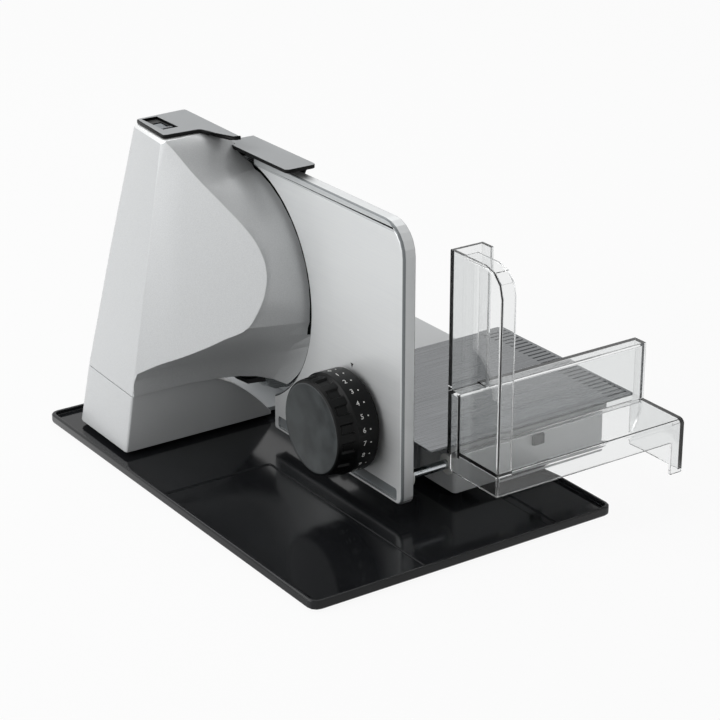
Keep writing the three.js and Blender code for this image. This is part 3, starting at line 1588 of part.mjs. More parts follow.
// The origin is the middle of the whole object's footprint, on the surface it stands on.
machine.updateMatrixWorld(true);
const bounds = new THREE.Box3().setFromObject(machine, true);
machine.position.set(
  -(bounds.min.x + bounds.max.x) / 2,
  -(bounds.min.y + bounds.max.y) / 2,
  -bounds.min.z,
);

export default machine;
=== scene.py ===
import json
import math

import bmesh
import bpy
from mathutils import Euler, Matrix, Vector


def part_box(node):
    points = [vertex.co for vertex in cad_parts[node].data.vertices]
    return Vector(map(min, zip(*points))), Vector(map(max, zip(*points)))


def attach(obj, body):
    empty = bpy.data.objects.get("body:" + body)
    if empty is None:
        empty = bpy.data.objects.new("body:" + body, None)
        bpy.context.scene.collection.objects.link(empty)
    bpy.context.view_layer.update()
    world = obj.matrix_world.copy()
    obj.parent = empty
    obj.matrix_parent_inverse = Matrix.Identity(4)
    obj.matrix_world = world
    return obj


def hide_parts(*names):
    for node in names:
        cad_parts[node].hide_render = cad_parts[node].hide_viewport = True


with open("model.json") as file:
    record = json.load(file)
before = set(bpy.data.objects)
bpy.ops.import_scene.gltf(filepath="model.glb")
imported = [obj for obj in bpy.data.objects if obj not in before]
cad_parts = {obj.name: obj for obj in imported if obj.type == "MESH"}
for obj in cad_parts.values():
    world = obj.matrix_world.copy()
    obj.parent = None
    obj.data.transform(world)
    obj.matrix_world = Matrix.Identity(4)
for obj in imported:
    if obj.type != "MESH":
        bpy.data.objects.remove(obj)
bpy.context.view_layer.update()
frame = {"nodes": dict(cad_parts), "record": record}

mm = 0.001
nodes = frame["nodes"]
trayLow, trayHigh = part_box("tray")


def at(x, y, z):
    # a place in millimetres from the front left corner of the tray's rim
    return Vector((trayLow.x, trayLow.y, trayHigh.z)) + Vector((x, y, z)) * mm


def ownNode(name):
    # the body and the material slot that the record gives a CAD node
    bodies, subparts = frame["record"]["behaviour"]["bodies"], frame["record"]["subparts"]
    body = next(body for body, members in bodies.items() if name in members)
    slot = next(part["material_slot"] for part in subparts if part["node"] == name)
    return body, slot


# Camera first: it stands where the photograph was taken from.
camera = {
    "place": (-0.82625, -1.2117, 0.6842),
    "tilt": 67.42,
    "turn": -34.463,
    "lens": 113.48,
    "sensor": 36.0,
    "clip": (0.05, 30),
}


def makeCamera():
    data = bpy.data.cameras.new("camera")
    data.lens = camera["lens"]
    data.sensor_width = camera["sensor"]
    data.clip_start, data.clip_end = camera["clip"]
    body = bpy.data.objects.new("camera", data)
    body.location = camera["place"]
    body.rotation_euler = Euler((math.radians(camera["tilt"]), 0, math.radians(camera["turn"])))
    bpy.context.scene.collection.objects.link(body)
    bpy.context.scene.camera = body


makeCamera()
print("camera placed")


# Materials. Each gives its two colours, the range of its roughness, the size of its pattern and
# how far that rises, in millimetres. Blend is the part of the noise that the colours spread over.
noiseSpan = (0.3, 0.7)  # most of a noise's values lie in here


def hexColour(code):
    # sRGB hex to the linear colour that the nodes use
    def linear(text):
        value = int(text, 16) / 255
        return value / 12.92 if value <= 0.04045 else ((value + 0.055) / 1.055) ** 2.4
    return (linear(code[1:3]), linear(code[3:5]), linear(code[5:7]), 1.0)


def addNode(tree, kind, inputs=None, **settings):
    node = tree.nodes.new(kind)
    for key, value in settings.items():
        setattr(node, key, value)
    for key, value in (inputs or {}).items():
        if isinstance(value, bpy.types.NodeSocket):
            tree.links.new(value, node.inputs[key])
        else:
            node.inputs[key].default_value = value
    return node


def newMaterial(name, **inputs):
    material = bpy.data.materials.new(name)
    material.use_nodes = True
    tree = material.node_tree
    shader = tree.nodes["Principled BSDF"]
    for key, value in inputs.items():
        shader.inputs[key.replace("_", " ")].default_value = value
    coords = addNode(tree, "ShaderNodeTexCoord").outputs["Object"]
    return material, tree, shader, coords


def grainScale(size):
    # the scale of a noise whose grains are about this many millimetres across
    return 1 / (size * mm)


def layPattern(tree, shader, pattern, skin, colours=(), relief=None):
    # the pattern blends the colours, varies the gloss and rises, unless another one is its relief
    share = pattern
    if "blend" in skin:
        low, high = skin["blend"]
        share = addNode(tree, "ShaderNodeMapRange", {
            "Value": pattern, "From Min": low, "From Max": high}).outputs["Result"]
    if colours:
        dark, light = colours
        mixed = addNode(tree, "ShaderNodeMix", {
            "Factor": share, 6: hexColour(dark), 7: hexColour(light)}, data_type="RGBA")
        tree.links.new(mixed.outputs[2], shader.inputs["Base Color"])
    low, high = skin.get("glossSpan", noiseSpan)
    smooth, rough = skin["roughness"]
    gloss = addNode(tree, "ShaderNodeMapRange", {
        "Value": pattern, "From Min": low, "From Max": high, "To Min": smooth, "To Max": rough})
    tree.links.new(gloss.outputs["Result"], shader.inputs["Roughness"])
    if "rise" in skin:
        bump = addNode(tree, "ShaderNodeBump", {
            "Height": pattern if relief is None else relief, "Distance": skin["rise"] * mm,
            "Strength": 1.0})
        tree.links.new(bump.outputs["Normal"], shader.inputs["Normal"])


# Moulded ABS with a silver metallic lacquer: fine flakes under a thin clear coat. The brow's
# colours are the lacquer painted lighter and more metallic, a painted highlight.
lacquer = {"wall": (0.12, "#bfc1c2", "#cacccd"), "brow": (0.7, "#e6e8e8", "#eceded"),
           "roughness": (0.35, 0.45), "blend": (0.35, 0.65), "flake": 0.5, "waviness": 38,
           "rise": 0.05, "coat": 0.2, "coatRoughness": 0.2}


def makeSilverLacquer(name, metallic, *colours):
    material, tree, shader, coords = newMaterial(
        name, Metallic=metallic, Coat_Weight=lacquer["coat"],
        Coat_Roughness=lacquer["coatRoughness"], Coat_IOR=1.5)
    flakes = addNode(tree, "ShaderNodeTexNoise", {
        "Vector": coords, "Scale": grainScale(lacquer["flake"]), "Detail": 1})
    swells = addNode(tree, "ShaderNodeTexNoise", {
        "Vector": coords, "Scale": grainScale(lacquer["waviness"]), "Detail": 1})
    layPattern(tree, shader, flakes.outputs["Fac"], lacquer, colours, swells.outputs["Fac"])
    return material


# Die cast aluminium plate, finely brushed along its length and clear anodised: the lines draw
# the light out into a soft streak.
# the strip's colours are darker than the face's: painted shade on the sloped strip along the top
brushed = {"face": ("#d6d8d9", "#dadcdc"), "strip": ("#b2b5b6", "#b8bbbc"),
           # the rim's colours are darker still: a painted dark reflection on the rolled rim and
           # every soft edge
           "rim": ("#75797b", "#7d8183"), "metallic": 0.45, "roughness": (0.36, 0.44),
           "blend": noiseSpan, "line": 0.6, "lineLength": 60, "rise": 0.002}


def makeBrushedAluminium(name, *colours):
    material, tree, shader, coords = newMaterial(name, Metallic=brushed["metallic"])
    # the real lines are finer: these are as coarse as they need to be to show
    drawn = addNode(tree, "ShaderNodeMapping", {
        "Vector": coords, "Scale": (1, brushed["line"] / brushed["lineLength"], 1)})
    lines = addNode(tree, "ShaderNodeTexNoise", {
        "Vector": drawn.outputs[0], "Scale": grainScale(brushed["line"])})
    layPattern(tree, shader, lines.outputs["Fac"], brushed, colours)
    return material


# Satin moulded ABS in anthracite: a fine spark-eroded grain that scatters the light.
anthracite = {"colours": ("#8f9294", "#a3a6a8"), "roughness": (0.36, 0.46), "grain": 0.7,
              "rise": 0.02}


def makeAnthracite():
    material, tree, shader, coords = newMaterial("anthracite satin ABS", IOR=1.52)
    grain = addNode(tree, "ShaderNodeTexNoise", {
        "Vector": coords, "Scale": grainScale(anthracite["grain"])})
    layPattern(tree, shader, grain.outputs["Fac"], anthracite, anthracite["colours"])
    return material


# Polished high gloss styrene, as trays are moulded: a mirror-like skin with faint wipe marks.
glossBlack = {"colours": ("#17181a", "#1f2022"), "roughness": (0.09, 0.16),
              "glossSpan": (0.35, 0.7), "specular": 0.2, "smear": 26, "smearLength": 65,
              "waviness": 60, "rise": 0.04}


def makeGlossBlack():
    material, tree, shader, coords = newMaterial("gloss black styrene", IOR=1.55,
                                                 Specular_IOR_Level=glossBlack["specular"])
    wiped = addNode(tree, "ShaderNodeMapping", {
        "Vector": coords, "Scale": (1, glossBlack["smear"] / glossBlack["smearLength"], 1)})
    smears = addNode(tree, "ShaderNodeTexNoise", {
        "Vector": wiped.outputs[0], "Scale": grainScale(glossBlack["smear"]), "Detail": 3})
    swells = addNode(tree, "ShaderNodeTexNoise", {
        "Vector": coords, "Scale": grainScale(glossBlack["waviness"]), "Detail": 1})
    layPattern(tree, shader, smears.outputs["Fac"], glossBlack, glossBlack["colours"],
               swells.outputs["Fac"])
    return material


# Fine-grained black polyamide, as dials and frames are moulded: dull, with a faint sheen.
mattBlack = {"colours": ("#161717", "#1f2021"), "roughness": (0.36, 0.5), "specular": 0.2,
             "grain": 0.5, "rise": 0.03}


def makeMattBlack():
    material, tree, shader, coords = newMaterial("matt black polyamide", IOR=1.5,
                                                 Specular_IOR_Level=mattBlack["specular"])
    grain = addNode(tree, "ShaderNodeTexNoise", {
        "Vector": coords, "Scale": grainScale(mattBlack["grain"])})
    layPattern(tree, shader, grain.outputs["Fac"], mattBlack, mattBlack["colours"])
    return material


# Satin black ABS, as knobs are moulded: darker than the frame and a little glossier.
satinBlack = {"colours": ("#060707", "#0b0c0c"), "roughness": (0.3, 0.4), "specular": 0.12,
              "grain": 0.5, "rise": 0.01}


def makeSatinBlack():
    material, tree, shader, coords = newMaterial("satin black ABS", IOR=1.52,
                                                 Specular_IOR_Level=satinBlack["specular"])
    grain = addNode(tree, "ShaderNodeTexNoise", {
        "Vector": coords, "Scale": grainScale(satinBlack["grain"])})
    layPattern(tree, shader, grain.outputs["Fac"], satinBlack, satinBlack["colours"])
    return material


# The knob's face: the black plastic painted a lighter grey, painted light for what the dish
# catches, with a wide dull gloss.
litKnobFace = {"colours": ("#303334", "#3b3f40"), "roughness": (0.34, 0.46),
             "blend": (0.35, 0.65), "cloud": 14, "grain": 0.5, "rise": 0.01}


def makeSoftTouch():
    material, tree, shader, coords = newMaterial("knob face with painted light", IOR=1.45)
    clouds = addNode(tree, "ShaderNodeTexNoise", {
        "Vector": coords, "Scale": grainScale(litKnobFace["cloud"])})
    grain = addNode(tree, "ShaderNodeTexNoise", {
        "Vector": coords, "Scale": grainScale(litKnobFace["grain"])})
    layPattern(tree, shader, clouds.outputs["Fac"], litKnobFace, litKnobFace["colours"],
               grain.outputs["Fac"])
    return material


# Clear moulded SAN, polished in the mould: light runs through it and its edges look dark.
clearSan = {"colour": "#f0f1f1", "roughness": (0, 0.01), "ior": 1.5, "flow": 45, "rise": 0.03}


def makeClearSan():
    material, tree, shader, coords = newMaterial(
        "clear moulded SAN", Base_Color=hexColour(clearSan["colour"]), IOR=clearSan["ior"],
        Transmission_Weight=1.0)
    flow = addNode(tree, "ShaderNodeTexNoise", {
        "Vector": coords, "Scale": grainScale(clearSan["flow"]), "Detail": 1})
    layPattern(tree, shader, flow.outputs["Fac"], clearSan)
    return material


# Ground and polished stainless steel with faint turned rings: bright, with fine dark streaks.
steel = {"colours": ("#aeb2b5", "#c6cacc"), "roughness": (0.13, 0.25), "ring": 0.7,
         "ringLength": 14, "rise": 0.008}


def makePolishedSteel():
    material, tree, shader, coords = newMaterial("polished stainless steel", Metallic=1.0)
    along = steel["ring"] / steel["ringLength"]
    drawn = addNode(tree, "ShaderNodeMapping", {"Vector": coords, "Scale": (1, along, along)})
    streaks = addNode(tree, "ShaderNodeTexNoise", {
        "Vector": drawn.outputs[0], "Scale": grainScale(steel["ring"])})
    layPattern(tree, shader, streaks.outputs["Fac"], steel, steel["colours"])
    return material


# Rolled stainless sheet, brushed across the carriage: a darker metal with straight fine lines.
sheetSteel = {"colours": ("#626466", "#737577"), "roughness": (0.22, 0.36), "blend": noiseSpan,
              "line": 0.6, "lineLength": 50, "rise": 0.015}


def makeSheetSteel():
    material, tree, shader, coords = newMaterial("brushed stainless sheet", Metallic=1.0)
    drawn = addNode(tree, "ShaderNodeMapping", {
        "Vector": coords, "Scale": (sheetSteel["line"] / sheetSteel["lineLength"], 1, 1)})
    lines = addNode(tree, "ShaderNodeTexNoise", {
        "Vector": drawn.outputs[0], "Scale": grainScale(sheetSteel["line"])})
    layPattern(tree, shader, lines.outputs["Fac"], sheetSteel, sheetSteel["colours"])
    return material


# Die cast zinc, left as cast: a dull grey with a slightly pebbled skin.
castZinc = {"colours": ("#7f8386", "#9b9fa1"), "metallic": 0.9, "roughness": (0.4, 0.58),
            "pebble": 1.1, "rise": 0.06}


def makeCastZinc():
    material, tree, shader, coords = newMaterial("die cast zinc", Metallic=castZinc["metallic"])
    pebbles = addNode(tree, "ShaderNodeTexNoise", {
        "Vector": coords, "Scale": grainScale(castZinc["pebble"]), "Detail": 3})
    layPattern(tree, shader, pebbles.outputs["Fac"], castZinc, castZinc["colours"])
    return material


# Plain moulded plastics, evenly coloured and a little translucent at the skin: white acetal,
# natural nylon and grey ABS, and a darker grey that is painted shade in the plate's groove.
plainPlastics = {
    "white acetal": {"colours": ("#dededa", "#ebebe7"), "roughness": (0.32, 0.44), "grain": 0.8},
    "natural nylon": {"colours": ("#cbc2a6", "#dcd4bb"), "roughness": (0.36, 0.48), "grain": 1.2},
    "grey moulded ABS": {"colours": ("#84888b", "#92969a"), "roughness": (0.39, 0.51),
                         "grain": 0.6},
    "dark grey groove shade": {"colours": ("#64686a", "#6e7274"), "roughness": (0.34, 0.46),
                        "grain": 0.6},
}
plainBody = {"scatter": 0.05, "scatterDepth": 1, "rise": 0.02}


def makePlainPlastic(name):
    skin = plainPlastics[name] | plainBody
    material, tree, shader, coords = newMaterial(
        name, IOR=1.5, Subsurface_Weight=skin["scatter"],
        Subsurface_Scale=skin["scatterDepth"] * mm)
    grain = addNode(tree, "ShaderNodeTexNoise", {
        "Vector": coords, "Scale": grainScale(skin["grain"])})
    layPattern(tree, shader, grain.outputs["Fac"], skin, skin["colours"])
    return material


# Soft black rubber: no gloss, with a dusty bloom.
rubber = {"colours": ("#161616", "#262625"), "roughness": (0.72, 0.9), "bloom": 6, "pore": 0.5,
          "rise": 0.06}


def makeRubber():
    material, tree, shader, coords = newMaterial("soft black rubber", IOR=1.45)
    bloom = addNode(tree, "ShaderNodeTexNoise", {
        "Vector": coords, "Scale": grainScale(rubber["bloom"]), "Detail": 4})
    pores = addNode(tree, "ShaderNodeTexNoise", {
        "Vector": coords, "Scale": grainScale(rubber["pore"])})
    layPattern(tree, shader, bloom.outputs["Fac"], rubber, rubber["colours"],
               pores.outputs["Fac"])
    return material


# Pad printing ink: thin, even and slightly duller than what it is printed on.
inks = {"white ink": ("#e6e6e3", "#f0f0ee"), "black ink": ("#1c1c1d", "#252526")}
inkFilm = {"roughness": (0.5, 0.62), "grain": 0.3}


def makeInk(name):
    material, tree, shader, coords = newMaterial(name, IOR=1.48)
    grain = addNode(tree, "ShaderNodeTexNoise", {
        "Vector": coords, "Scale": grainScale(inkFilm["grain"])})
    layPattern(tree, shader, grain.outputs["Fac"], inkFilm, inks[name])
    return material


# Blade steel, ground in the round: its fine lines are rings about the blade's axis, which
# draw the light out into a fan.
bladeSteel = {"colours": ("#a9adb0", "#c3c7c9"), "roughness": (0.15, 0.28), "blend": noiseSpan,
              "ring": 0.5, "rise": 0.01}


def makeBladeSteel():
    material, tree, shader, coords = newMaterial("ground blade steel", Metallic=1.0)
    low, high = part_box("blade")
    centre = (low + high) / 2
    centred = addNode(tree, "ShaderNodeMapping", {
        "Vector": coords, "Location": (0, -centre.y, -centre.z), "Scale": (0, 1, 1)})
    reach = addNode(tree, "ShaderNodeVectorMath", {0: centred.outputs[0]}, operation="LENGTH")
    rings = addNode(tree, "ShaderNodeTexNoise", {
        "W": reach.outputs["Value"], "Scale": grainScale(bladeSteel["ring"])},
        noise_dimensions="1D")
    layPattern(tree, shader, rings.outputs["Fac"], bladeSteel, bladeSteel["colours"])
    return material


finishes = {
    "silver_paint": makeSilverLacquer("silver lacquer on ABS", *lacquer["wall"]),
    "plate_silver": makeBrushedAluminium("brushed anodised aluminium", *brushed["face"]),
    "anthracite": makeAnthracite(),
    "gloss_black": makeGlossBlack(),
    "matte_black": makeMattBlack(),
    "grey_plastic": makePlainPlastic("grey moulded ABS"),
    "white_plastic": makePlainPlastic("white acetal"),
    "clear_plastic": makeClearSan(),
    "polished_steel": makePolishedSteel(),
    "sheet_steel": makeSheetSteel(),
    "cast_metal": makeCastZinc(),
    "gear_plastic": makePlainPlastic("natural nylon"),
    "black_rubber": makeRubber(),
}
# the brow's lighter lacquer is a painted highlight
browHighlightSkin = makeSilverLacquer("lacquer with painted highlight", *lacquer["brow"])
# the strip's darker aluminium is painted shade
stripShadeSkin = makeBrushedAluminium("brushed strip, painted shade", *brushed["strip"])
# the rim's dark aluminium is a painted dark reflection
rimReflectionSkin = makeBrushedAluminium("rim with painted dark reflection", *brushed["rim"])
# the dark grey on the groove's floor is painted shade
grooveShadeSkin = makePlainPlastic("dark grey groove shade")
satinSkin = makeSatinBlack()
# the knob face's lighter grey is painted light
litFaceSkin = makeSoftTouch()
bladeSkin = makeBladeSteel()
whiteInk = makeInk("white ink")
blackInk = makeInk("black ink")

for nodeName, carried in nodes.items():
    carried.data.materials.clear()
    carried.data.materials.append(finishes[ownNode(nodeName)[1]])
print("materials made")


# Mesh helpers.
weld = 0.002  # points closer than this many millimetres are one
flatAngle = 0.3  # faces that meet at fewer degrees than this are one
roundShare = 0.29  # how far in the middle point of a rounded corner lies
axes = {"x": Vector((1, 0, 0)), "y": Vector((0, 1, 0)), "z": Vector((0, 0, 1))}


def between(a, b, share):
    return a + (b - a) * share


def finishPiece(name, shape, body, slot, material=None, smoothAngle=32):
    # makes an object of a bmesh: smooth faces, with the edges over an angle kept sharp
    for face in shape.faces:
        face.smooth = True
    for edge in shape.edges:
        if edge.is_manifold and edge.calc_face_angle(0) > math.radians(smoothAngle):
            edge.smooth = False
    mesh = bpy.data.meshes.new(name)
    shape.to_mesh(mesh)
    shape.free()
    mesh.materials.append(material or finishes[slot])
    piece = bpy.data.objects.new(name, mesh)
    bpy.context.scene.collection.objects.link(piece)
    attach(piece, body)
    return piece


def softenEdges(piece, width, segments=2, angle=30):
    bevel = piece.modifiers.new("soft edges", "BEVEL")
    bevel.width = width * mm
    bevel.segments = segments
    bevel.limit_method = "ANGLE"
    bevel.angle_limit = math.radians(angle)
    bevel.use_clamp_overlap = False
    bevel.harden_normals = True


def addSkin(piece, skin):
    # one more finish for the piece, and the number that its faces know it by
    piece.data.materials.append(skin)
    return len(piece.data.materials) - 1


def mergedCopy(node):
    # a clean copy of a CAD node: its loose triangles merged and its flat faces whole
    shape = bmesh.new()
    shape.from_mesh(nodes[node].data)
    bmesh.ops.remove_doubles(shape, verts=shape.verts, dist=weld * mm)
    bmesh.ops.dissolve_limit(shape, angle_limit=math.radians(flatAngle), verts=shape.verts,
                             edges=shape.edges, use_dissolve_boundaries=False)
    return shape


def dressNode(node, width, segments=2, angle=30, smoothAngle=32, shape=None):
    body, slot = ownNode(node)
    piece = finishPiece(node + "_finish", shape or mergedCopy(node), body, slot,
                        smoothAngle=smoothAngle)
    softenEdges(piece, width, segments, angle)
    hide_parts(node)
    return piece


def spinProfile(profile, centre, axis, steps):
    # a turned solid from a profile of (radius, place along the axis) in millimetres
    away = Vector((0, 1, 0)) if axis.z else Vector((0, 0, 1))
    shape = bmesh.new()
    points = [shape.verts.new(centre + (away * r + axis * a) * mm) for r, a in profile]
    for first, second in zip(points, points[1:]):
        shape.edges.new((first, second))
    bmesh.ops.spin(shape, geom=shape.verts[:] + shape.edges[:], cent=centre, axis=axis,
                   dvec=(0, 0, 0), angle=2 * math.pi, steps=steps, use_merge=True,
                   use_duplicate=False)
    bmesh.ops.remove_doubles(shape, verts=shape.verts, dist=weld * mm)
    bmesh.ops.recalc_face_normals(shape, faces=shape.faces)
    return shape


def roundedBar(radius, start, end, bevel):
    # the profile of a bar whose ends are rounded over
    soft = bevel * roundShare
    return [(0, start), (radius - bevel, start), (radius - soft, start + soft),
            (radius, start + bevel), (radius, end - bevel), (radius - soft, end - soft),
            (radius - bevel, end), (0, end)]


def roundedTube(bore, radius, start, end, bevel):
    soft = bevel * roundShare
    return [(bore + bevel, start), (radius - bevel, start), (radius - soft, start + soft),
            (radius, start + bevel), (radius, end - bevel), (radius - soft, end - soft),
            (radius - bevel, end), (bore + bevel, end), (bore + soft, end - soft),
            (bore, end - bevel), (bore, start + bevel), (bore + soft, start + soft),
            (bore + bevel, start)]


def turnNode(node, axisName, makeProfile, steps=48):
    # a turned piece on the axis of a CAD node, as long and as wide as the node
    body, slot = ownNode(node)
    low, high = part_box(node)
    axis = axes[axisName]
    across = [k for k in range(3) if axis[k] == 0]
    radius = (high[across[0]] - low[across[0]]) / 2 / mm
    centre = (low + high) / 2
    along = centre.dot(axis)
    centre = centre - axis * along
    profile = makeProfile(radius, low.dot(axis) / mm, high.dot(axis) / mm)
    piece = finishPiece(node + "_finish", spinProfile(profile, centre, axis, steps), body, slot)
    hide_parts(node)


def bar(bevel):
    return lambda radius, start, end: roundedBar(radius, start, end, bevel)


def sleeve(bore, bevel):
    return lambda radius, start, end: roundedTube(bore, radius, start, end, bevel)


# The tray and its feet.
tray = {"edge": 0.7, "feet": 4, "footEdge": 1.0}
dressNode("tray", tray["edge"], segments=3)
for number in range(1, tray["feet"] + 1):
    turnNode(f"tray_foot_{number}", "z", bar(tray["footEdge"]))
    turnNode(f"machine_foot_{number}", "z", bar(tray["footEdge"]))
print("tray made")

# The housing: tower, base, cover, lid and switch.
housing = {
    "edge": 0.45, "edgeAngle": 24, "baseAngle": 30,
    "creaseAngle": 35, "creaseStep": 5, "creaseCuts": 4,
    "left": -0.5, "front": -0.4,  # normals past these look left and forwards
    "brow": 1.9, "browAngle": 50, "browLevel": 0.2, "rimLevel": 0.3,
    "up": 0.95, "coverUp": 0.9,  # normals past these look up
    # the width of the black painted-shade strip beside the blade, and how far below the blade's
    # axis it runs
    "shadeEdge": 3.8, "shadeDrop": 20,
    "coverEdge": 0.35, "coverInset": 1.7, "wellMargin": 2, "topDepth": 1.2,
    "sideShare": 0.2, "sameSide": 0.05, "cornerLimit": 0.4,
    "switchEdge": 0.3, "rockerEdge": 0.6,
}


def facetOf(shape):
    # the broad flat face that looks left and forwards
    return max((face for face in shape.faces if face.normal.x < housing["left"]
                and face.normal.y < housing["front"]), key=lambda face: face.calc_area())


def creaseChain(facet):
    # the facet's sharp edges in order, from the base up to the cover
    sharp = [loop for loop in facet.loops if loop.edge.is_manifold
             and loop.edge.calc_face_angle(0) > math.radians(housing["creaseAngle"])]
    first = next(loop for loop in sharp if loop.link_loop_prev not in sharp)
    chain = [first]
    while chain[-1].link_loop_next in sharp and chain[-1].link_loop_next is not first:
        chain.append(chain[-1].link_loop_next)
    return [loop.edge for loop in chain], [loop.vert for loop in chain] + [
        chain[-1].link_loop_next.vert]


def fairCurve(points):
    # the direction of a smooth curve at each point, weighted by the lengths beside it
    slopes = []
    for number, point in enumerate(points):
        before = points[max(number - 1, 0)]
        after = points[min(number + 1, len(points) - 1)]
        near, far = (point - before).length, (after - point).length
        if near == 0 or far == 0:
            slopes.append((after - before).normalized())
        else:
            slopes.append(((point - before) / near * far + (after - point) / far * near)
                          / (near + far))
    return slopes


def roundCrease(shape):
    # long edges of the crease are cut and laid on a smooth curve through its corners
    edges, verts = creaseChain(facetOf(shape))
    points = [vert.co.copy() for vert in verts]
    slopes = fairCurve(points)
    for number, edge in enumerate(edges):
        start, end = points[number], points[number + 1]
        reach = (end - start).length
        if reach < housing["creaseStep"] * mm:
            continue
        made = bmesh.ops.subdivide_edges(shape, edges=[edge], cuts=housing["creaseCuts"])
        fresh = [item for item in made["geom_inner"] if isinstance(item, bmesh.types.BMVert)]
        for vert in fresh:
            t = (vert.co - start).length / reach
            vert.co = (start * (2 * t ** 3 - 3 * t ** 2 + 1) + end * (3 * t ** 2 - 2 * t ** 3)
                       + slopes[number] * reach * (t ** 3 - 2 * t ** 2 + t)
                       + slopes[number + 1] * reach * (t ** 3 - t ** 2))


def roundBrow(shape):
    # the edge under the cover is rounded over, and takes the tower's second finish, a lighter
    # lacquer that is a painted highlight
    top = max(vert.co.z for vert in shape.verts)
    brow = []
    for edge in shape.edges:
        level = min(vert.co.z for vert in edge.verts) > top - housing["browLevel"] * mm
        if (level and edge.is_manifold
                and edge.calc_face_angle(0) > math.radians(housing["browAngle"])):
            side = min(edge.link_faces, key=lambda face: face.normal.z)
            if side.normal.x < housing["left"] or side.normal.y < housing["front"]:
                brow.append(edge)
    bmesh.ops.bevel(shape, geom=brow, offset=housing["brow"] * mm, segments=3, profile=0.5,
                    affect="EDGES", material=1)


def makeTower():
    shape = mergedCopy("housing_tower")
    shape.normal_update()
    roundCrease(shape)
    roundBrow(shape)
    # the last few millimetres beside the blade, down to a little below its axis, are black:
    # painted shade for the dark gap between the tower and the plate
    low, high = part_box("blade")
    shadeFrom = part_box("housing_tower")[1].x - housing["shadeEdge"] * mm
    shadeLow = (low.z + high.z) / 2 - housing["shadeDrop"] * mm
    bmesh.ops.bisect_plane(shape, geom=shape.verts[:] + shape.edges[:] + shape.faces[:],
                           plane_co=(shadeFrom, 0, 0), plane_no=(1, 0, 0),
                           dist=weld / 2 * mm)
    tower = dressNode("housing_tower", housing["edge"], angle=housing["edgeAngle"],
                      smoothAngle=housing["edgeAngle"], shape=shape)
    # the second finish, the lighter lacquer, is a painted highlight on the brow and the top
    # faces; the third, black, is painted shade beside the blade
    bright, black = addSkin(tower, browHighlightSkin), addSkin(tower, satinSkin)
    top = max(vert.co.z for vert in tower.data.vertices)
    for face in tower.data.polygons:
        if face.center.x > shadeFrom and face.center.z > shadeLow:
            face.material_index = black
        elif face.normal.z > housing["up"] and face.center.z > top - housing["rimLevel"] * mm:
            face.material_index = bright


def sidesOf(vert):
    # the sideways directions that the upright faces at a point look in, each once
    sides = []
    for face in vert.link_faces:
        flat = Vector((face.normal.x, face.normal.y, 0))
        if flat.length > housing["sideShare"]:
            flat.normalize()
            if all((flat - other).length > housing["sameSide"] for other in sides):
                sides.append(flat)
    return sides


def insetCover(shape):
    # the cover stands in from the brow all round, and leaves a rim showing, which carries the
    # painted highlight
    shape.normal_update()
    low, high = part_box("switch_body")
    margin = housing["wellMargin"] * mm
    shifts = []
    for vert in shape.verts:
        if (low.x - margin < vert.co.x < high.x + margin
                and low.y - margin < vert.co.y < high.y + margin):
            continue
        sides = sidesOf(vert)
        if sides:
            inwards = -sum(sides, Vector()).normalized()
            shifts.append((vert, inwards * housing["coverInset"] * mm
                           / max(housing["cornerLimit"], -inwards.dot(sides[0]))))
    for vert, shift in shifts:
        vert.co += shift


def makeCover():
    shape = mergedCopy("top_cover")
    insetCover(shape)
    return dressNode("top_cover", housing["coverEdge"], segments=3, shape=shape)


def darkenSides(piece):
    # only the faces at the top of the piece keep its own finish: the rest is black
    black = addSkin(piece, satinSkin)
    top = max(vert.co.z for vert in piece.data.vertices)
    for face in piece.data.polygons:
        if (face.normal.z < housing["coverUp"]
                or face.center.z < top - housing["topDepth"] * mm):
            face.material_index = black


makeTower()
dressNode("housing_base", housing["edge"], smoothAngle=housing["baseAngle"])
darkenSides(makeCover())
darkenSides(dressNode("blade_lid", housing["coverEdge"], segments=3))
dressNode("switch_body", housing["switchEdge"])
dressNode("switch_rocker", housing["rockerEdge"], segments=3)
print("housing made")

# The bed, its rail and the plates that tie the machine together.
bed = {"edge": 0.5, "smallEdge": 0.3, "railEdge": 0.5}
dressNode("carriage_base", bed["edge"])
dressNode("floor_plate", bed["smallEdge"])
dressNode("front_buffer", bed["edge"], segments=3)
dressNode("spindle_bracket", bed["smallEdge"])
turnNode("guide_rail", "y", bar(bed["railEdge"]))
for place in ("front", "rear"):
    dressNode(f"{place}_rail_mount", bed["smallEdge"])
    dressNode(f"{place}_rail_shoe", bed["smallEdge"])
print("bed made")

# The blade: a shallow dish with a ground bevel and a waved edge.
blade = {"radius": 85, "bevel": 4.5, "edge": 0.3, "wave": 0.8, "waves": 30, "stepsPerWave": 8,
         "dishRadius": 61, "dishRise": 0.35, "dishInside": 3, "dishOutside": 2, "seat": 40,
         "seatRise": 0.25, "seatBend": 2, "bore": 6.3, "thickness": 1.5, "rimDepth": 0.1,
         "smoothAngle": 15}


def bladeProfile(seat, cut):
    flat = cut - blade["thickness"]
    top = seat + blade["thickness"]
    rim = blade["radius"]
    seatIn, seatOut = blade["seat"] - blade["seatBend"], blade["seat"] + blade["seatBend"]
    dishIn = blade["dishRadius"] - blade["dishInside"]
    dishOut = blade["dishRadius"] + blade["dishOutside"]
    return [(blade["bore"], seat), (seatIn, seat), (seatOut, seat + blade["seatRise"]),
            (dishIn, flat - blade["dishRise"]), (dishOut, flat), (rim - blade["bevel"], flat),
            (rim, cut - blade["edge"]), (rim, cut), (dishOut, cut),
            (dishIn, cut - blade["dishRise"]), (seatOut, top + blade["seatRise"]),
            (seatIn, top), (blade["bore"], top), (blade["bore"], seat)]


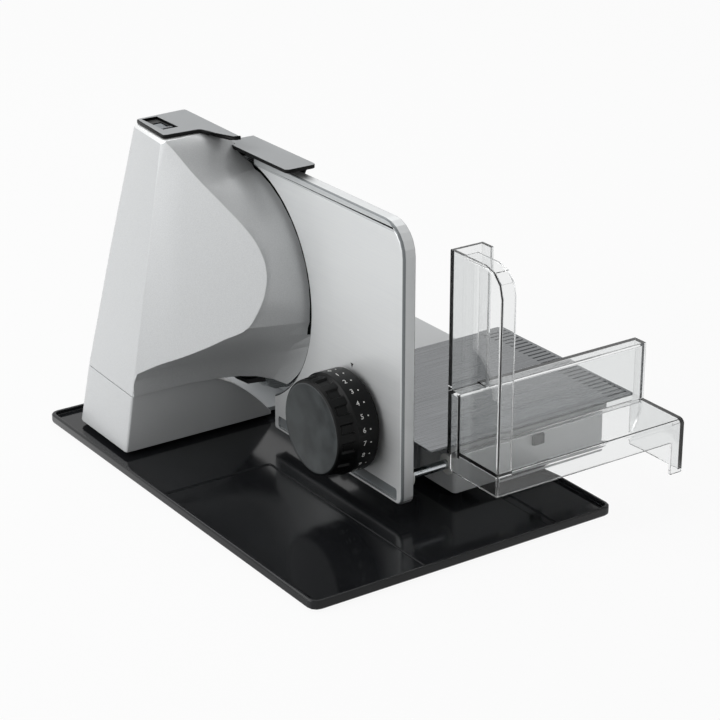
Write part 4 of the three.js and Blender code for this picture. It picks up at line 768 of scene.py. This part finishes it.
def makeBlade():
    low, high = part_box("blade")
    centre = (low + high) / 2
    centre.x = 0
    shape = spinProfile(bladeProfile(low.x / mm, high.x / mm), centre, axes["x"],
                        blade["waves"] * blade["stepsPerWave"])
    for vert in shape.verts:
        out = Vector((0, vert.co.y - centre.y, vert.co.z - centre.z))
        if out.length > (blade["radius"] - blade["rimDepth"]) * mm:
            turn = math.atan2(out.z, out.y) * blade["waves"]
            vert.co -= out.normalized() * blade["wave"] * mm * (1 - math.cos(turn)) / 2
    piece = finishPiece("blade_finish", shape, "blade_wheel", "polished_steel", bladeSkin,
                        blade["smoothAngle"])
    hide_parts("blade")


# The drive behind the blade.
axle = {"radius": 6, "flangeStart": 38.5, "flangeEnd": 41.2, "flangeEdge": 0.4}
drive = {"lockEdge": 0.3, "carrierEdge": 0.3, "bearingEdge": 0.2, "gearEdge": 0.15,
         "wormEdge": 0.1, "motorEdge": 1.5, "motorSteps": 64, "cradleEdge": 0.3,
         "glandEdge": 0.3}


def axleProfile(radius, start, end):
    # a bar with one flange, rounded at its rim
    first, last = start + axle["flangeStart"], start + axle["flangeEnd"]
    edge = axle["flangeEdge"]
    return [(0, start), (axle["radius"], start), (axle["radius"], first),
            (radius - edge, first), (radius, first + edge), (radius, last - edge),
            (radius - edge, last), (axle["radius"], last), (axle["radius"], end), (0, end)]


makeBlade()
turnNode("blade_axle", "x", axleProfile)
dressNode("blade_lock", drive["lockEdge"])
dressNode("blade_carrier", drive["carrierEdge"])
dressNode("axle_bearing", drive["bearingEdge"])
dressNode("drive_gear", drive["gearEdge"], segments=1)
dressNode("worm_shaft", drive["wormEdge"], segments=1)
turnNode("motor_can", "z", bar(drive["motorEdge"]), drive["motorSteps"])
dressNode("motor_cradle", drive["cradleEdge"])
dressNode("cable_gland", drive["glandEdge"])
print("blade and drive made")

# The stop plate and what rides with it.
plate = {
    "edge": 0.5, "edgeAngle": 22, "smoothAngle": 5,
    "arcGap": 0.8, "arcEnd": 88.9, "grooveFloor": 1.2, "grooveTop": 14,
    # how far left a face looks: the leaning strip, flat faces, the rolled rim and the sides
    "strip": -0.97, "stripLean": 0.05, "flat": -0.9, "rim": -0.7, "side": -0.1,
    "rodEdge": 0.8, "ferruleBore": 3.6, "ferruleEdge": 1.2, "collarEdge": 0.2,
}
bush = {"bore": 3.6, "radius": 4.8, "flange": 1.3, "flangeEdge": 0.3, "endEdge": 0.4}


def makePlate():
    # the sloped strip along the top is darker, painted shade; the rolled rim is darker, a painted
    # dark reflection;
    # the floor of the groove is darker, painted shade; and the arc beside the housing leaves a
    # gap and is black, painted shade in that gap
    shape = mergedCopy("stop_plate")
    low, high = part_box("blade")
    axis = (low + high) / 2
    arcEnd = plate["arcEnd"] + plate["arcGap"]

    def reach(place):
        return math.hypot(place.y - axis.y, place.z - axis.z) / mm

    for vert in shape.verts:
        if reach(vert.co) < plate["arcEnd"]:
            out = Vector((0, vert.co.y - axis.y, vert.co.z - axis.z)).normalized()
            vert.co += out * plate["arcGap"] * mm
    piece = dressNode("stop_plate", plate["edge"], segments=3, angle=plate["edgeAngle"],
                      smoothAngle=plate["smoothAngle"], shape=shape)
    grooveShade, strip = addSkin(piece, grooveShadeSkin), addSkin(piece, stripShadeSkin)
    rim, black = addSkin(piece, rimReflectionSkin), addSkin(piece, satinSkin)
    # every bevel takes the darker rim finish: a painted dark reflection along the plate's edges
    piece.modifiers["soft edges"].material = rim
    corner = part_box("stop_plate")[0]
    for face in piece.data.polygons:
        sunk = face.center.x - corner.x > plate["grooveFloor"] * mm
        inGroove = face.center.z < corner.z + plate["grooveTop"] * mm
        if face.normal.x < plate["strip"] and face.normal.z > plate["stripLean"]:
            face.material_index = strip
        # the sunk floor of the groove takes the dark grey: painted shade
        elif face.normal.x < plate["flat"] and sunk and inGroove:
            face.material_index = grooveShade
        # black on the arc's faces is painted shade, standing in for the dark gap beside the
        # housing
        elif face.normal.x < plate["side"] and reach(face.center) < arcEnd:
            face.material_index = black
        elif plate["rim"] < face.normal.x < plate["side"]:
            face.material_index = rim


def bushProfile(radius, start, end):
    # a plain bush with a flange at its left end
    flange = start + bush["flange"]
    return [(bush["bore"], start), (radius - bush["flangeEdge"], start),
            (radius, start + bush["flangeEdge"]), (radius, flange - bush["flangeEdge"]),
            (radius - bush["flangeEdge"], flange), (bush["radius"], flange),
            (bush["radius"], end - bush["endEdge"]), (bush["radius"] - bush["endEdge"], end),
            (bush["bore"], end), (bush["bore"], start)]


makePlate()
for place in ("front", "rear"):
    turnNode(f"{place}_rod", "x", bar(plate["rodEdge"]))
    turnNode(f"{place}_rod_ferrule", "x", sleeve(plate["ferruleBore"], plate["ferruleEdge"]))
    turnNode(f"{place}_guide_bush", "x", bushProfile)
dressNode("knob_collar", plate["collarEdge"])

pointer = {"width": 3.4, "height": 3.2, "y": 122.9, "z": 91.6, "inkDepth": 0.06}


def makePointer():
    # a plain printed triangle on the plate, over the dial
    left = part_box("stop_plate")[0].x
    shape = bmesh.new()
    half, y, z = pointer["width"] / 2, pointer["y"], pointer["z"]
    corners = [at(0, y - half, z), at(0, y + half, z), at(0, y, z - pointer["height"])]
    for corner in corners:
        corner.x = left
    face = shape.faces.new([shape.verts.new(c) for c in corners])
    raised = bmesh.ops.extrude_face_region(shape, geom=[face])
    bmesh.ops.translate(shape, vec=(-pointer["inkDepth"] * mm, 0, 0),
                        verts=[v for v in raised["geom"] if isinstance(v, bmesh.types.BMVert)])
    bmesh.ops.recalc_face_normals(shape, faces=shape.faces)
    finishPiece("plate_pointer", shape, "slice_stop", "plate_silver", blackInk)


makePointer()
print("stop plate made")

# The knob: dished face, rounded rim, sunk grips on the front half and a printed dial behind.
knob = {
    "dish": 3, "dishPower": 2.2, "faceMargin": 0.2, "faceLook": -0.9,
    "dishShares": (0, 0.15, 0.3, 0.45, 0.6, 0.72, 0.83, 0.92, 0.975),
    "ring": 30.6, "lip": 0.7, "face": 33, "grip": 34.2, "back": 35.3, "wall": 5,
    # the rounded rim: shares of the edge inwards and along
    "edge": 1.4, "rimShares": ((0.4, 0.45), (0.1, 1), (0, 1.5)),
    "faceThickness": 6, "socket": 2.6, "spindle": 4.3,
    "scale": 17, "scaleEdge": 0.5, "scaleSeam": 0.4, "backEdge": 0.4,
    "grips": 16, "stepsPerGrip": 12, "gripSteps": 7, "gripStart": 2.6, "gripEnd": 13,
    "gripShares": (0.15, 0.8), "gripDepth": 1.5, "gripSlope": 1.2, "skin": 1,
    "softEdge": 0.2, "smoothAngle": 38, "spindleEdge": 0.6,
}


def knobCentre():
    low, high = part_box("knob")
    centre = (low + high) / 2
    centre.x = 0
    return centre, low.x / mm, high.x / mm


def knobProfile(left, right):
    ring, face, grip, back = knob["ring"], knob["face"], knob["grip"], knob["back"]
    edge, end = knob["edge"], knob["backEdge"]
    scaleStart = right - knob["scale"]
    inside = left + knob["faceThickness"]
    socket = inside - knob["socket"]
    inner = back - knob["wall"]
    startShare, endShare = knob["gripShares"]
    dish = [(ring * share, left + knob["dish"] * (1 - share ** knob["dishPower"]))
            for share in knob["dishShares"]]
    rim = [(face - edge * inwards, left + edge * along) for inwards, along in knob["rimShares"]]
    return dish + [(ring, left), (ring + knob["lip"], left)] + rim + [
        (between(face, grip, startShare), left + knob["gripStart"]),
        (between(face, grip, endShare), left + knob["gripEnd"]),
        (grip, scaleStart - knob["scaleSeam"]), (back - knob["scaleEdge"], scaleStart),
        (back, scaleStart + knob["scaleEdge"]), (back, right - end), (back - end, right),
        (inner, right), (inner, inside), (knob["spindle"], inside), (knob["spindle"], socket),
        (0, socket)]


def sinkGrips(shape, centre, left, steps):
    # the grips are runs of steps round the rim, each inset and pushed in as one
    grips = {}
    for face in shape.faces:
        middle = face.calc_center_median()
        y, z = middle.y - centre.y, middle.z - centre.z
        out, along = math.hypot(y, z) / mm, middle.x / mm - left
        step = int((math.degrees(math.atan2(z, y)) % 360) / 360 * steps)
        if (out > knob["face"] - knob["skin"] and knob["gripStart"] < along < knob["gripEnd"]
                and step % knob["stepsPerGrip"] < knob["gripSteps"]):
            grips.setdefault(step // knob["stepsPerGrip"], []).append(face)
    for faces in grips.values():
        bmesh.ops.inset_region(shape, faces=faces, thickness=knob["gripSlope"] * mm,
                               depth=-knob["gripDepth"] * mm, use_even_offset=True)


def makeKnob():
    centre, left, right = knobCentre()
    steps = knob["grips"] * knob["stepsPerGrip"]
    shape = spinProfile(knobProfile(left, right), centre, axes["x"], steps)
    sinkGrips(shape, centre, left, steps)
    piece = finishPiece("knob_finish", shape, "thickness_knob", "matte_black", satinSkin,
                        knob["smoothAngle"])
    # the dished face takes the lighter grey: painted light on the black knob
    soft = addSkin(piece, litFaceSkin)
    dishEnd = (left + knob["dish"] + knob["faceMargin"]) * mm
    for face in piece.data.polygons:
        if face.normal.x < knob["faceLook"] and face.center.x < dishEnd:
            face.material_index = soft
    softenEdges(piece, knob["softEdge"])
    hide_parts("knob")


# The dial: twenty-one numbers, each with a dot, printed round the back half of the knob.
dial = {"first": 100.5, "step": 15, "last": 20, "digit": 5.0, "digitPlace": 19.4,
        "dotPlace": 24.2, "dotRadius": 0.55, "dotSides": 16, "depth": 0.05, "lift": 0.02,
        "resolution": 4}


def digitMesh(text):
    curve = bpy.data.curves.new("digits", "FONT")
    curve.body = text
    curve.size = dial["digit"] * mm
    curve.extrude = dial["depth"] * mm
    curve.align_x = "CENTER"
    curve.align_y = "CENTER"
    curve.resolution_u = dial["resolution"]
    holder = bpy.data.objects.new("digits", curve)
    bpy.context.scene.collection.objects.link(holder)
    bpy.context.view_layer.update()
    mesh = bpy.data.meshes.new_from_object(
        holder.evaluated_get(bpy.context.evaluated_depsgraph_get()))
    bpy.data.objects.remove(holder)
    return mesh


def dialPlace(number, centre, along):
    # upright as seen from the front, where the surface faces -Y, then turned about the axis
    turn = math.radians(dial["step"] * number - dial["first"])
    out = (knob["back"] + dial["lift"]) * mm
    return (Matrix.Translation(centre + Vector((along * mm, 0, 0)))
            @ Matrix.Rotation(turn, 4, "X") @ Matrix.Translation((0, -out, 0))
            @ Matrix.Rotation(math.radians(90), 4, "X"))


def makeDial():
    centre, left, _ = knobCentre()
    shape = bmesh.new()
    for number in range(dial["last"] + 1):
        mesh = digitMesh(str(number))
        mesh.transform(dialPlace(number, centre, left + dial["digitPlace"]))
        shape.from_mesh(mesh)
        bpy.data.meshes.remove(mesh)
        bmesh.ops.create_cone(
            shape, cap_ends=True, cap_tris=False, segments=dial["dotSides"],
            radius1=dial["dotRadius"] * mm, radius2=dial["dotRadius"] * mm,
            depth=dial["depth"] * 2 * mm,
            matrix=dialPlace(number, centre, left + dial["dotPlace"]))
    finishPiece("knob_dial", shape, "thickness_knob", "matte_black", whiteInk)


makeKnob()
makeDial()
turnNode("knob_spindle", "x", bar(knob["spindleEdge"]))
print("knob made")

# The carriage: sheet, frame, wheels and the clear moulding.
carriage = {"sheetEdge": 0.25, "frameEdge": 0.5, "guardEdge": 0.45, "guardAngle": 30,
            "guardBack": 0.25, "wheelEdge": 0.5, "wheelBore": 1.8, "pinEdge": 0.25,
            "pinSteps": 24}


def makeGuard():
    # a hair shorter than its solid, as its soft edges stand proud at the front corner
    shape = mergedCopy("carriage_guard")
    low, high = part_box("carriage_guard")
    share = 1 - carriage["guardBack"] * mm / (high.y - low.y)
    for vert in shape.verts:
        vert.co.y = between(high.y, vert.co.y, share)
    dressNode("carriage_guard", carriage["guardEdge"], segments=3,
              smoothAngle=carriage["guardAngle"], shape=shape)


dressNode("carriage_sheet", carriage["sheetEdge"])
dressNode("carriage_frame", carriage["frameEdge"])
makeGuard()
for place in ("front", "rear"):
    turnNode(f"{place}_roller", "x", sleeve(carriage["wheelBore"], carriage["wheelEdge"]))
    turnNode(f"{place}_roller_pin", "x", bar(carriage["pinEdge"]), carriage["pinSteps"])
print("carriage made")

# The stage: a plain pale floor that keeps the shadow, soft lamps and a white surround.
stage = {"floorSize": 12.0, "floor": "#dcdcdc", "floorRoughness": 0.9, "world": 0.26,
         "whiteness": 0.93}
white = (1, 1, 1, 1)


def seenBy(tree, *kinds):
    # one for the named kinds of ray, nought for the rest
    paths = addNode(tree, "ShaderNodeLightPath")
    seen = paths.outputs[kinds[0]]
    for kind in kinds[1:]:
        seen = addNode(tree, "ShaderNodeMath", {0: seen, 1: paths.outputs[kind]},
                       operation="MAXIMUM").outputs[0]
    return seen


def makeFloor():
    shape = bmesh.new()
    bmesh.ops.create_grid(shape, x_segments=1, y_segments=1, size=stage["floorSize"] / 2)
    mesh = bpy.data.meshes.new("floor")
    shape.to_mesh(mesh)
    shape.free()
    material, tree, shader, _ = newMaterial(
        "pale floor", Base_Color=hexColour(stage["floor"]), Roughness=stage["floorRoughness"])
    # what the camera, metal and glass see of it is near white, and keeps the shadow
    seen = seenBy(tree, "Is Camera Ray", "Is Glossy Ray", "Is Transmission Ray")
    share = addNode(tree, "ShaderNodeMath", {0: seen, 1: stage["whiteness"]},
                    operation="MULTIPLY")
    glow = addNode(tree, "ShaderNodeEmission", {"Color": white, "Strength": 1.0})
    mixed = addNode(tree, "ShaderNodeMixShader", {
        "Fac": share.outputs[0], 1: shader.outputs[0], 2: glow.outputs[0]})
    tree.links.new(mixed.outputs[0], tree.nodes["Material Output"].inputs["Surface"])
    mesh.materials.append(material)
    floor = bpy.data.objects.new("floor", mesh)
    bpy.context.scene.collection.objects.link(floor)


def makeWorld():
    # dim where it lights the machine, and white where it is seen
    world = bpy.data.worlds.new("white surround")
    world.use_nodes = True
    tree = world.node_tree
    dim = tree.nodes["Background"]
    dim.inputs["Color"].default_value = white
    dim.inputs["Strength"].default_value = stage["world"]
    bright = addNode(tree, "ShaderNodeBackground", {"Color": white, "Strength": 1.0})
    seen = seenBy(tree, "Is Camera Ray", "Is Transmission Ray", "Is Glossy Ray")
    chosen = addNode(tree, "ShaderNodeMixShader", {
        "Fac": seen, 1: dim.outputs[0], 2: bright.outputs[0]})
    tree.links.new(chosen.outputs[0], tree.nodes["World Output"].inputs["Surface"])
    bpy.context.scene.world = world


lamps = {
    "left sky": {"place": (-1.6, 0.5, 0.9), "aim": (0, 0, 0.1), "size": 1.6, "watts": 25},
    "back sky": {"place": (0.3, 0.9, 1.7), "aim": (0, 0, 0.1), "size": 1.6, "watts": 12},
}


def makeLamps():
    for name, lamp in lamps.items():
        data = bpy.data.lights.new(name, "AREA")
        data.shape = "SQUARE"
        data.size = lamp["size"]
        data.energy = lamp["watts"]
        body = bpy.data.objects.new(name, data)
        body.location = lamp["place"]
        aim = Vector(lamp["aim"]) - Vector(lamp["place"])
        body.rotation_euler = aim.to_track_quat("-Z", "Y").to_euler()
        bpy.context.scene.collection.objects.link(body)


makeFloor()
makeWorld()
makeLamps()
bpy.context.scene.view_settings.view_transform = "Standard"
print("stage made")
